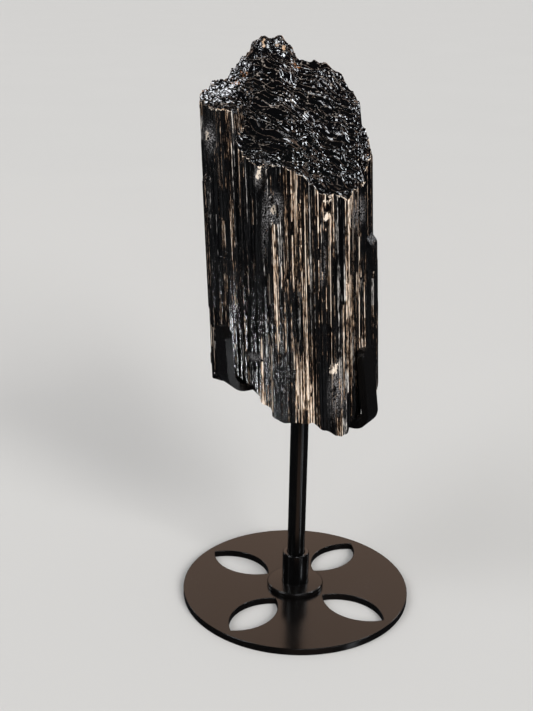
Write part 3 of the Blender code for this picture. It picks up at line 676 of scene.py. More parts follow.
class TOURMALINE_OT_hub(bpy.types.Operator):
    """Makes the six-sided hub under the crystal and the weld that joins it to the rod"""

    bl_idname = "tourmaline.hub"
    bl_label = "Hub"

    def execute(self, context):
        bm = bmesh.new()
        corner = HUB_ACROSS_FLATS / 2 / math.cos(math.pi / 6)
        bmesh.ops.create_cone(bm, cap_ends=True, segments=6, radius1=corner, radius2=corner,
                              depth=HUB_TOP_Z - HUB_BOTTOM_Z)
        bmesh.ops.rotate(bm, cent=(0, 0, 0), matrix=Matrix.Rotation(HUB_TURN, 3, "Z"), verts=bm.verts)
        bmesh.ops.translate(bm, vec=(0.0, 0.0, (HUB_TOP_Z + HUB_BOTTOM_Z) / 2), verts=bm.verts)
        bmesh.ops.bevel(bm, geom=bm.edges[:], offset=0.6 * MM, offset_type="OFFSET", segments=3, profile=0.5,
                        affect="EDGES", material=-1)
        weld = [(ROD_RADIUS - 0.5 * MM, HUB_BOTTOM_Z + 0.3 * MM)]
        for k in range(7):
            turn = math.pi / 2 * k / 6
            weld.append((ROD_RADIUS + 1.6 * MM * math.cos(turn), HUB_BOTTOM_Z + 0.3 * MM - 1.6 * MM * math.sin(turn)))
        verts = [bm.verts.new((radius, 0.0, z)) for radius, z in weld]
        edges = [bm.edges.new((a, b)) for a, b in zip(verts, verts[1:] + verts[:1])]
        bmesh.ops.spin(bm, geom=verts + edges, angle=2 * math.pi, steps=64, axis=(0, 0, 1), cent=(0, 0, 0),
                       use_merge=True)
        bmesh.ops.recalc_face_normals(bm, faces=bm.faces)
        finish_piece(bm, "arm_hub", [satin_paint()], "hub", 50.0)
        return {"FINISHED"}


def outward_from(azimuth):
    """The direction from the rod's axis to a prong, seen from above."""
    return Vector((math.cos(math.radians(azimuth)), math.sin(math.radians(azimuth)), 0.0))


def bar_path(spec, rows):
    """(distance from the rod's axis, z) of the bar's middle line to where its tip starts, and its last direction."""
    azimuth, start_z, elbows, bend, bend_radius, tip = spec
    corners = [(ARM_START, start_z * MM, 0)]
    corners += [(x * MM, z * MM, ELBOW_RADIUS) for x, z in elbows]
    corners += [(bend[0] * MM, bend[1] * MM, bend_radius * MM), (tip[0] * MM, tip[1] * MM, 0)]
    path = [Vector(point) for point in rounded(corners, 1.0, rows)]
    along = (path[-1] - path[-2]).normalized()
    path[-1] = path[-1] - along * (BAR_WIDTH / 2)
    return path, along


class TOURMALINE_OT_prongs(bpy.types.Operator):
    """Makes the three prongs, flat bars bent up round the crystal's foot"""

    bl_idname = "tourmaline.prongs"
    bl_label = "Prongs"

    def execute(self, context):
        stand = context.scene.tourmaline_stand
        tip_rows = 14
        for name, spec in PRONGS.items():
            path, along = bar_path(spec, 12)
            half_width = BAR_WIDTH / 2
            rows = [(point, half_width) for point in path]
            for i in range(1, tip_rows):
                turn = math.pi / 2 * i / tip_rows
                rows.append((path[-1] + along * (half_width * math.sin(turn)), half_width * math.cos(turn)))
            outward = outward_from(spec[0])
            across = Vector((-outward.y, outward.x, 0.0))
            bm = bmesh.new()
            previous = None
            for point, half in rows:
                middle = outward * point.x + Vector((0.0, 0.0, point.y))
                pair = [bm.verts.new(middle + across * (side * half)) for side in (-1, 1)]
                if previous:
                    bm.faces.new((previous[0], previous[1], pair[1], pair[0]))
                previous = pair
            tip = path[-1] + along * half_width
            apex = bm.verts.new(outward * tip.x + Vector((0.0, 0.0, tip.y)))
            bm.faces.new((previous[0], previous[1], apex))
            bmesh.ops.recalc_face_normals(bm, faces=bm.faces)
            bar = finish_piece(bm, name + "_bar", [satin_paint()], name, 60.0)
            thick = bar.modifiers.new("Bar thickness", "SOLIDIFY")
            thick.thickness = BAR_THICKNESS
            thick.offset = 0.0
            thick.use_even_offset = True
            edge = bar.modifiers.new("Rounded edges", "BEVEL")
            edge.width = stand.bar_bevel
            edge.segments = 3
            edge.limit_method = "ANGLE"
            edge.angle_limit = math.radians(60.0)
            edge.harden_normals = True
        return {"FINISHED"}


def inner_line(spec):
    """The arm's upper and the prong's inner side as (distance from the rod's axis, z), clear by a gap."""
    path, along = bar_path(spec, 6)
    path.append(path[-1] + along * BAR_WIDTH)
    line = []
    for before, point, after in zip([path[0]] + path, path, path[1:] + [path[-1]]):
        run = (after - before).normalized()
        line.append(point + Vector((-run.y, run.x)) * (BAR_THICKNESS / 2 + SEAT_GAP))
    return line


INNER_LINES = [(outward_from(spec[0]), inner_line(spec)) for spec in PRONGS.values()]


def smooth(share):
    share = np.clip(share, 0.0, 1.0)
    return share * share * (3.0 - 2.0 * share)


def nearest_turn(angle, middle):
    """The signed angle in degrees from middle to angle, within half a turn."""
    return (angle - middle + 180.0) % 360.0 - 180.0


def eased(table, place):
    """The table's second value at places along its first, eased between its entries."""
    places, values = (np.array(column, float) for column in zip(*table))
    i = np.clip(np.searchsorted(places, place) - 1, 0, len(places) - 2)
    share = (place - places[i]) / (places[i + 1] - places[i])
    return values[i] + (values[i + 1] - values[i]) * smooth(share)


class RibSet:
    """Seeded ribs side by side round the crystal, whose set-back changes at breaks up their length."""

    def __init__(self, count, seed, jitter, set_back, rounding, breaks):
        rng = random.Random(seed)
        pitch = 360.0 / count
        self.starts = np.array([pitch * (i + rng.uniform(-jitter, jitter)) for i in range(count)])
        self.ends = np.append(self.starts[1:], self.starts[0] + 360.0)
        first = [set_back * rng.random() for _ in range(count)]
        later = [[set_back * rng.random() for _ in range(breaks)] for _ in range(count)]
        self.set_backs = np.array([[base] + more for base, more in zip(first, later)])
        self.breaks = np.array([sorted(rng.uniform(110.0, 300.0) for _ in range(breaks)) or [] for _ in range(count)])
        self.stains = np.array([[rng.random() for _ in range(breaks + 1)] for _ in range(count)])
        self.rounding = rounding

    def rib_at(self, azimuth):
        """Index of the rib at an azimuth, and the place across it from -1 to 1."""
        azimuth = (azimuth - self.starts[0]) % 360.0 + self.starts[0]
        i = np.clip(np.searchsorted(self.starts, azimuth, side="right") - 1, 0, len(self.starts) - 1)
        return i, 2.0 * (azimuth - self.starts[i]) / (self.ends[i] - self.starts[i]) - 1.0

    def up_rib(self, table, i, z):
        """A value of each rib's stretches at height z in millimetres, eased at the breaks."""
        value = table[i, 0].copy()
        for k in range(self.breaks.shape[1]):
            value = value + (table[i, k + 1] - table[i, k]) * smooth((z - self.breaks[i, k]) / 1.6 + 0.5)
        return value

    def depth(self, azimuth, z):
        i, across = self.rib_at(azimuth)
        return self.up_rib(self.set_backs, i, z) + self.rounding * across ** 4


RIBS = RibSet(RIB_COUNT, RIB_SEED, RIB_JITTER, RIB_SET_BACK, RIB_ROUNDING, 0)
FINE_RIBS = RibSet(FINE_RIB_COUNT, FINE_RIB_SEED, FINE_RIB_JITTER, FINE_RIB_SET_BACK, FINE_RIB_ROUNDING,
                   FINE_RIB_BREAKS)
WIDE_STAIN = RibSet(52, 23, 0.4, 0.0, 0.0, 4)
TONE_RIBS = RibSet(130, 31, 0.4, 0.0, 0.0, 3)
# Painted light and shade round the crystal, as a share of its staining: the left side is painted darker and the front
# right lighter, as the light falls; azimuth in degrees, share
SIDE_SHADE = ((-180, 0.9), (-150, 0.84), (-128, 0.9), (-112, 1.0), (-95, 1.05), (-60, 1.1), (-40, 1.05),
              (-10, 0.95), (40, 0.95), (90, 1.0), (140, 0.9), (180, 0.9))
# Rough spots on the front, bumped into small facets and given painted glints: x and z, half width and half height in
# millimetres, strength
DRUSE_SPOTS = ((-16.8, 233.0, 5.0, 8.0, 1.0), (-20.8, 226.0, 1.8, 20.0, 0.8), (-24.0, 155.0, 6.0, 2.4, 0.9),
               (-6.0, 147.5, 3.0, 1.6, 0.6), (18.0, 138.0, 5.0, 16.0, 0.75), (-49.0, 263.0, 4.0, 8.0, 1.0),
               (8.0, 206.0, 1.6, 12.0, 0.6), (26.0, 228.0, 5.0, 8.0, 0.6), (-24.0, 248.0, 3.0, 6.0, 0.6),
               (44.0, 210.0, 9.0, 5.0, 0.9))
# Pale chips on the front: x and z, half width and half height in millimetres, strength
CHIPS = ((8.9, 229.4, 3.0, 3.4, 1.1), (-16.8, 231.8, 2.2, 3.6, 1.3), (-24.6, 249.0, 2.4, 4.5, 0.95),
         (16.0, 149.4, 4.2, 5.5, 0.85), (10.0, 236.5, 4.5, 2.5, 0.7), (17.5, 134.0, 3.0, 6.0, 0.5),
         (-50.4, 264.0, 2.6, 5.0, 0.85), (-5.8, 147.4, 1.6, 1.0, 0.8))

# Tan spots on the peak
PEAK_SPOTS = ((-23.2, 306.8, 2.0, 3.6, 1.05), (-16.6, 306.0, 2.0, 2.0, 1.0), (-13.2, 304.8, 2.4, 2.4, 1.0),
              (-44.0, 277.0, 1.4, 2.2, 0.8), (-31.0, 283.0, 1.2, 2.4, 0.8), (3.0, 281.0, 3.0, 1.4, 0.6))


def side_depth(azimuth, z):
    """Everything that is cut into the flat faces, in metres: ribs, grooves, ledges and pits."""
    height = z / MM
    depth = RIBS.depth(azimuth, height) + FINE_RIBS.depth(azimuth, height) - 0.25
    for middle, half_width, cut in GROOVES:
        depth = depth + cut * (1.0 - smooth(abs(nearest_turn(azimuth, middle)) / half_width))
    for middle, half_width, level, cut, fall in LEDGES:
        across = abs(nearest_turn(azimuth, middle)) / half_width
        beside = 1.0 - smooth((across - LEDGE_FLAT_SHARE) / (1.0 - LEDGE_FLAT_SHARE))
        depth = depth + cut * beside * smooth((height - level) / fall)
    for middle, level, half_width, half_height, cut in PITS:
        away = np.hypot(nearest_turn(azimuth, middle) / half_width, (height - level) / half_height)
        depth = depth + cut * (1.0 - smooth(away))
    return depth * MM


def face_radius(azimuth, z):
    """Radius of the section bounded by the flat faces, its corners rounded a little."""
    total = 0.0
    for face_azimuth, distance in SIDE_FACES:
        toward = np.maximum(np.cos(np.radians(azimuth - face_azimuth)), 0.0)
        total = total + (toward / distance) ** FACE_SHARPNESS
    return total ** (-1.0 / FACE_SHARPNESS) * MM * (1.0 - TAPER_PER_METRE * (z - SECTION_Z))


def axis_point(z):
    return SECTION_CENTRE[0] + LEAN_PER_METRE * (z - SECTION_Z), SECTION_CENTRE[1]


def prong_reach(azimuth, z):
    """How far from its axis the crystal may reach at an azimuth and height before it meets a prong."""
    reach = np.full_like(azimuth, 1.0)
    centre_x, centre_y = axis_point(z)
    cosine, sine = np.cos(np.radians(azimuth)), np.sin(np.radians(azimuth))
    for outward, line in INNER_LINES:
        toward = outward.x * cosine + outward.y * sine
        for low, high in zip(line, line[1:]):
            if high.y <= low.y:
                continue
            limit = low.x + (high.x - low.x) * (z - low.y) / (high.y - low.y)
            touch = (limit - outward.x * centre_x - outward.y * centre_y) / np.maximum(toward, PRONG_FACING)
            across = abs(outward.x * (centre_y + touch * sine) - outward.y * (centre_x + touch * cosine))
            near = (toward >= PRONG_FACING) & (z > low.y) & (z <= high.y) & (across < BAR_WIDTH / 2 + SEAT_MARGIN)
            reach = np.where(near, np.minimum(reach, touch), reach)
    return reach


def arm_top(x, y):
    """The lowest height that clears the hub and the arms over a point, falling away beside them."""
    past_hub = np.maximum(0.0, np.hypot(x, y) - HUB_ACROSS_FLATS / 2 - SEAT_MARGIN)
    height = HUB_TOP_Z + SEAT_GAP - past_hub * SEAT_FALL
    for outward, line in INNER_LINES:
        along = x * outward.x + y * outward.y + SEAT_LEAD
        beside = np.maximum(0.0, abs(x * outward.y - y * outward.x) - BAR_WIDTH / 2 - SEAT_MARGIN)
        for low, high in zip(line, line[1:]):
            if high.x <= low.x:
                continue
            top = low.y + (high.y - low.y) * (along - low.x) / (high.x - low.x) - beside * SEAT_FALL
            over = (along > low.x) & (along <= high.x)
            height = np.where(over, np.maximum(height, top), height)
    return height


def section_point(share, azimuth, z):
    """Points at a share of the way from the crystal's axis to its side, at an azimuth and height."""
    side = face_radius(azimuth, z) - side_depth(azimuth, z) * share ** RIB_FADE_POWER
    side = np.minimum(side, prong_reach(azimuth, z))
    centre_x, centre_y = axis_point(z)
    turn = np.radians(azimuth)
    return centre_x + share * side * np.cos(turn), centre_y + share * side * np.sin(turn)


def top_height(x, y):
    """Height of the broken top over a point."""
    x, y = x / MM, y / MM
    inward = 1.0 - np.minimum(1.0, abs(x - TOP_MIDDLE_X) / TOP_HALF_WIDTH) ** TOP_OUTLINE_POWER
    front_y = TOP_FRONT_Y * inward
    crest_y = TOP_CREST_Y * inward + TOP_LEAST_RUN
    front = eased(TOP_FRONT, x)
    crest = eased(TOP_CREST, x)
    rise = np.maximum(0.0, (y - front_y) / (crest_y - front_y))
    z = front + (crest - front) * rise - TOP_BOWL_DEPTH * 4.0 * rise * (1.0 - rise) * inward
    z = np.where(y < crest_y, z, crest + TOP_BACK_SLOPE * (y - crest_y))
    for step_x, step_y, height in TOP_STEPS:
        across = (x - step_x) * math.sin(TOP_STEP_HEADING) - (y - step_y) * math.cos(TOP_STEP_HEADING)
        z = z + height * (smooth(across / TOP_STEP_FALL + 0.5) - 0.5) * inward
    for lump_x, lump_y, lump_radius, height in TOP_LUMPS:
        z = z + height * (1.0 - smooth(np.hypot(x - lump_x, y - lump_y) / lump_radius))
    inside, column_z = column_share(x, y)
    z = z + (np.maximum(z, column_z) - z) * inside
    return z * MM


def foot_height(share, azimuth):
    """Height of the broken foot at a share of the radius."""
    rim = eased(FOOT_RIM, (azimuth - FOOT_RIM[0][0]) % 360.0 + FOOT_RIM[0][0])
    wave = np.sin(np.radians(azimuth) * 5 + share * 7.0) * share * (1.0 - share) * FOOT_WAVE_HEIGHT
    return (FOOT_MIDDLE_Z + (rim - FOOT_MIDDLE_Z) * share ** FOOT_RIM_POWER + wave) * MM


def block_azimuth(u, v):
    """Azimuth in degrees of the points (u, v) of a square whose sides become a quarter of the section each."""
    wide = abs(u) >= abs(v)
    safe_u = np.where(wide & (u != 0.0), u, 1.0)
    safe_v = np.where(wide, 1.0, v)
    return np.where(wide, 45.0 * v / safe_u + 180.0 * (u < 0.0), 90.0 - 45.0 * u / safe_v + 180.0 * (v < 0.0))


def crystal_places(u, v, level):
    """The unit block's points (u and v from -1 to 1, level from 0 to 1) moved to the crystal's surface."""
    share = np.maximum(abs(u), abs(v))
    azimuth = block_azimuth(u, v)
    foot = foot_height(share, azimuth)
    foot = np.maximum(foot, arm_top(*section_point(share, azimuth, foot)))
    top = np.full_like(foot, TOP_START_Z * MM)
    for _ in range(TOP_TRIES):
        top = top_height(*section_point(share, azimuth, top))
    z = foot + (top - foot) * level
    return share, azimuth, np.array([*section_point(share, azimuth, z), z]).T


def tilted_cells(place, seed):
    """Height over tilted flat facets, one to each cell of space."""
    distances, centres = noise.voronoi(place)
    return (place - centres[0]).dot(noise.noise_vector(centres[0] * seed)), distances


def column_share(x, y):
    """How far a point is inside the tall column, and the height of the column's top there, in millimetres."""
    edge_x = COLUMN_EDGE[0] + COLUMN_EDGE[2] * np.clip(y - COLUMN_EDGE[1], 0.0, 16.0)
    return smooth((edge_x - x) / COLUMN_FALL + 0.5), COLUMN_TOP[0] + COLUMN_TOP[2] * (y - COLUMN_TOP[1])


def roughened_top(points, share):
    """Breaks the top up into rippled shells and facets; returns it, how crumbly it is and the ripples' phase."""
    noise.seed_set(7)
    moved = points.copy()
    crumbly = np.zeros(len(points))
    phases = np.zeros(len(points))
    turn = Matrix.Rotation(math.radians(18.0), 3, "Z")
    for n, (x, y, z) in enumerate(points / MM):
        place = Vector((x, y, z))
        wander = noise.noise(place * 0.2)
        shoulder = (-36.0 - x + 4.0 * wander + max(0.0, y) * 0.35) / 4.0
        shoulder = min(1.0, max(0.0, shoulder)) * min(1.0, max(0.0, (y + 9.0 + 3.0 * wander) / 3.0))
        peak = max(0.0, min(0.55, (z - 300.0 + 3.0 * wander) / 4.0))
        edge = max(0.0, min(1.0, (x - 26.0 + 5.0 * wander) / 5.0))
        patch = max(0.0, min(0.6, noise.noise(place * 0.085 + Vector((7.0, 3.0, 1.0))) * 2.4 - 0.75))
        patch *= max(0.35, min(1.0, (y + 18.0) / 20.0))
        rim = min(1.0, max(0.0, (share[n] - 0.90) / 0.06)) * (0.45 + 0.6 * wander) * (y > -8.0)
        crumbly[n] = max(1.18 * shoulder, peak, edge * 0.45, patch, rim)
        bent = place + noise.noise_vector(place * 0.1) * 2.5
        phases[n] = RIPPLE_HEADING.dot(bent) / RIPPLE_SPACING + 1.1 * noise.noise(place * 0.05)
        phases[n] += 0.4 * noise.noise(place * 0.17)
        ripple = 0.25 + 0.75 * max(0.0, min(1.0, 0.5 + 1.6 * noise.noise(place * 0.06 + Vector((2.0, 8.0, 4.0)))))
        along = turn @ bent
        shells = noise.voronoi(Vector((along.x * 0.055, along.y * 0.11, along.z * 0.11)))[0][0]
        cut = 4.6 * shells ** 2 - 0.9 - 0.9 * ripple * (phases[n] % 1.0 - 0.5)
        cut += 0.6 * noise.noise(place * 0.16)
        cut += (0.03 + 0.9 * crumbly[n]) * tilted_cells(place * 0.30, 5.3)[0]
        cut += (0.01 + 1.2 * crumbly[n]) * tilted_cells(place * 0.8, 3.7)[0]
        moved[n, 2] += cut * MM * (1.0 if share[n] < 0.999 else 0.6)
    for x, y, radius, height in TOP_DETAIL:
        away = np.hypot(points[:, 0] / MM - x, points[:, 1] / MM - y) / radius
        moved[:, 2] += height * MM * (1.0 - smooth(away))
    knee = CAD_BOX[1].z - TOP_KNEE * MM
    over = moved[:, 2] > knee
    squeeze = TOP_KNEE * MM / (moved[:, 2].max() - knee)
    moved[over, 2] = knee + (moved[over, 2] - knee) * min(1.0, squeeze)
    return moved, crumbly, phases


def stain_and_painted_shade(azimuth, height):
    """How strong the ribs' staining is, with painted light and shade: the left side is painted darker and the front
    right lighter, as the light falls, a painted shade line darkens the crease between fine ribs, and some of the wide
    ribs stay black.
    """
    i, across = FINE_RIBS.rib_at(azimuth)
    rib = FINE_RIBS.up_rib(FINE_RIBS.stains, i, height)
    wide = WIDE_STAIN.up_rib(WIDE_STAIN.stains, WIDE_STAIN.rib_at(azimuth)[0], height)
    shade = eased(SIDE_SHADE, nearest_turn(azimuth, 0.0))
    # shade is painted light and shade by side; the last term paints shade into the crease between fine ribs
    return (0.7 * rib + 0.75 * wide) * shade + 0.9 * (shade - 1.0) - 0.55 * across ** 4


def spotted(points, spots, where):
    """The strongest of the oval spots at each point of the front."""
    value = np.zeros(len(points))
    for x, z, width, height, strength in spots:
        away = np.hypot((points[:, 0] / MM - x) / width, (points[:, 2] / MM - z) / height)
        value = np.where(where, np.maximum(value, strength * (1.0 - smooth(away * 0.8))), value)
    return value


def toned(azimuth, height):
    """Tone of the stain on each rib, from brown through tan to pale."""
    return TONE_RIBS.up_rib(TONE_RIBS.stains, TONE_RIBS.rib_at(azimuth)[0], height)


def bruised(points, share, top):
    """Where the stone is chipped pale: along the broken rim and in a few spots on the front."""
    bruise = np.zeros(len(points))
    rim = top & (share > 0.999)
    for n in np.flatnonzero(rim):
        bruise[n] = 0.80 + 0.5 * noise.noise(Vector(points[n] / MM) * 0.45)
    bruise = np.maximum(bruise, 1.25 * spotted(points, CHIPS, (points[:, 1] < 0.0) & ~top))
    return np.maximum(bruise, spotted(points, PEAK_SPOTS, top & (points[:, 1] < 26.0 * MM)))


class TOURMALINE_OT_crystal(bpy.types.Operator):
    """Makes the crystal: ribbed sides, broken top and broken foot"""

    bl_idname = "tourmaline.crystal"
    bl_label = "Crystal"

    def execute(self, context):
        settings = context.scene.tourmaline_crystal
        bm = bmesh.new()
        bmesh.ops.create_grid(bm, x_segments=settings.cells, y_segments=settings.cells, size=1.0)
        bmesh.ops.translate(bm, vec=(0.0, 0.0, 1.0), verts=bm.verts)
        rim = [edge for edge in bm.edges if edge.is_boundary]
        lowered = bmesh.ops.extrude_edge_only(bm, edges=rim)["geom"]
        foot_verts = [item for item in lowered if isinstance(item, bmesh.types.BMVert)]
        foot_edges = [item for item in lowered if isinstance(item, bmesh.types.BMEdge)]
        bmesh.ops.translate(bm, vec=(0.0, 0.0, -1.0), verts=foot_verts)
        upright = [edge for edge in bm.edges if abs(edge.verts[0].co.z - edge.verts[1].co.z) > 0.5]
        bmesh.ops.subdivide_edges(bm, edges=upright, cuts=settings.rows - 1, use_grid_fill=True)
        ring_edges = [edge for edge in foot_edges if edge.is_valid and edge.is_boundary]
        last = 1.0
        for ring in range(1, settings.foot_rings + 1):
            share = 1.0 - ring / (settings.foot_rings + 1.0)
            inner = bmesh.ops.extrude_edge_only(bm, edges=ring_edges)["geom"]
            ring_verts = [item for item in inner if isinstance(item, bmesh.types.BMVert)]
            ring_edges = [item for item in inner if isinstance(item, bmesh.types.BMEdge) and item.is_boundary]
            bmesh.ops.scale(bm, vec=(share / last, share / last, 1.0), verts=ring_verts)
            last = share
        bmesh.ops.contextual_create(bm, geom=ring_edges)
        block = np.array([vert.co for vert in bm.verts])
        share, azimuth, points = crystal_places(block[:, 0], block[:, 1], block[:, 2])
        top = block[:, 2] > 0.9999
        moved, crumbly, phases = roughened_top(points[top], share[top])
        points[top] = moved
        points[:, 2] = np.minimum(points[:, 2], CAD_BOX[1].z)
        height = points[:, 2] / MM
        # The stain attribute carries staining together with painted light and shade by side and painted shade in the
        # rib creases
        values = {"stain": stain_and_painted_shade(azimuth, height), "tone": toned(azimuth, height),
                  "bruise": bruised(points, share, top),
                  "druse": spotted(points, DRUSE_SPOTS, (points[:, 1] < 0.0) & ~top),
                  "ripple": np.full(len(points), 0.25)}
        values["druse"][top] = crumbly * smooth((1.0 - share[top]) / 0.018)
        values["druse"][top & (points[:, 0] < -37 * MM)] *= 1.5
        values["ripple"][top] = phases + 40.0
        inside, column_z = column_share(points[:, 0] / MM, points[:, 1] / MM)
        wall = top & (inside > 0.01) & (inside < 0.99) & (height < column_z - 1.0) & (points[:, 1] < -4 * MM)
        values["druse"][wall] = 0.0
        for face in bm.faces:
            levels = [vert.co.z for vert in face.verts]
            broken = min(levels) > 0.9999 or max(levels) < 0.0001
            face.material_index = int(broken and not any(wall[vert.index] for vert in face.verts))
        layers = {name: bm.verts.layers.float.new(name) for name in values}
        for n, vert in enumerate(bm.verts):
            vert.co = points[n]
            for name, layer in layers.items():
                vert[layer] = values[name][n]
        bmesh.ops.recalc_face_normals(bm, faces=bm.faces)
        mats = [shared_material("tourmaline_sides", side_material, settings),
                shared_material("tourmaline_break", break_material, settings)]
        finish_piece(bm, "tourmaline", mats, "crystal", 26.0)
        return {"FINISHED"}


def random_turn(rng, tilt):
    """A random rotation, up to a tilt away from upright."""
    spin = Matrix.Rotation(rng.uniform(0.0, 2 * math.pi), 4, "Z")
    lean = Matrix.Rotation(rng.uniform(0.0, tilt), 4, Vector((rng.uniform(-1, 1), rng.uniform(-1, 1), 0.0)))
    return lean @ spin


class TOURMALINE_OT_small_crystals(bpy.types.Operator):
    """Grows small crystals over the crumbly parts of the broken top"""

    bl_idname = "tourmaline.small_crystals"
    bl_label = "Small crystals"

    def execute(self, context):
        settings = context.scene.tourmaline_crystal
        stone = bpy.data.objects["tourmaline"].data
        crumbly = np.zeros(len(stone.vertices))
        stone.attributes["druse"].data.foreach_get("value", crumbly)
        wanted = np.flatnonzero(crumbly > 0.45)
        # The mesh tools may number the points anew on each run, so they are put in order of place first
        places = np.array([stone.vertices[n].co for n in wanted])
        wanted = wanted[np.lexsort(places.T)]
        rng = random.Random(8)
        bm = bmesh.new()
        for _ in range(settings.chip_count):
            vert = stone.vertices[wanted[rng.randrange(len(wanted))]]
            radius = rng.choice((0.35, 0.5, 0.5, 0.7, 0.9, 1.3)) * MM
            depth = radius * rng.uniform(1.3, 2.4)
            turned = Matrix.Translation(vert.co - vert.normal * radius * 0.4) @ random_turn(rng, 1.3)
            bmesh.ops.create_cone(bm, cap_ends=True, segments=rng.choice((3, 4, 5, 6)), radius1=radius,
                                  radius2=radius * rng.uniform(0.35, 0.9), depth=depth, matrix=turned)
        low, high = CAD_BOX
        layers = {name: bm.verts.layers.float.new(name) for name in ("druse", "ripple")}
        for vert in bm.verts:
            vert.co.z = min(vert.co.z, high.z)
            vert[layers["druse"]], vert[layers["ripple"]] = 0.35, 0.25
        mats = [shared_material("tourmaline_break", break_material, settings)]
        finish_piece(bm, "small_crystals", mats, None, 15.0)
        return {"FINISHED"}


class TOURMALINE_OT_splinters(bpy.types.Operator):
    """Stands thin splinters of stone along the crystal's sides"""

    bl_idname = "tourmaline.splinters"
    bl_label = "Splinters"

    def execute(self, context):
        settings = context.scene.tourmaline_crystal
        rng = random.Random(14)
        count = settings.splinter_count
        azimuth = np.array([rng.uniform(-180.0, 180.0) for _ in range(count)])
        whole = np.ones(count)
        foot = foot_height(whole, azimuth)
        foot = np.maximum(foot, arm_top(*section_point(whole, azimuth, foot)))
        top = np.full(count, TOP_START_Z * MM)
        for _ in range(TOP_TRIES):
            top = top_height(*section_point(whole, azimuth, top))
        bm = bmesh.new()
        names = ("stain", "tone", "bruise")
        layers = [bm.verts.layers.float.new(name) for name in names]
        upright = Vector((LEAN_PER_METRE, 0.0, 1.0)).to_track_quat("Z", "Y").to_matrix().to_4x4()
        for n in range(count):
            length = rng.choice((6, 9, 14, 20, 30, 44)) * MM * rng.uniform(0.8, 1.2)
            room = max(0.0, top[n] - foot[n] - length - 5 * MM)
            z = foot[n] + 2.5 * MM + length / 2 + rng.random() * room
            levels = z + length * np.linspace(-0.5, 0.5, 7)
            turns = np.full(7, azimuth[n])
            x, y = section_point(np.ones(7), turns, levels)
            centre_x, centre_y = axis_point(levels)
            away = np.hypot(x - centre_x, y - centre_y)
            radius = rng.uniform(0.35, 1.0) * MM
            if away.max() - away.min() > 1.2 * MM or away.min() + 2 * radius > prong_reach(turns, levels).min():
                continue
            outward = outward_from(azimuth[n])
            spot = Vector((centre_x[3], centre_y, z)) + outward * (away.min() - radius * rng.uniform(0.1, 0.6))
            made = bmesh.ops.create_cone(
                bm, cap_ends=True, segments=5, radius1=radius, radius2=radius * rng.uniform(0.6, 1.0), depth=length,
                matrix=Matrix.Translation(spot) @ upright @ Matrix.Rotation(rng.uniform(0, 6.28), 4, "Z"))["verts"]
            slant = rng.uniform(-1.2, 1.2)
            stain, tone = rng.random() ** 0.8 * 1.1, rng.random()
            for vert in made:
                vert.co.z += slant * (vert.co.x - spot.x) if vert.co.z > z else 0.0
                vert[layers[0]], vert[layers[1]] = stain, tone
        mats = [shared_material("tourmaline_sides", side_material, settings)]
        finish_piece(bm, "splinters", mats, None, 25.0)
        return {"FINISHED"}


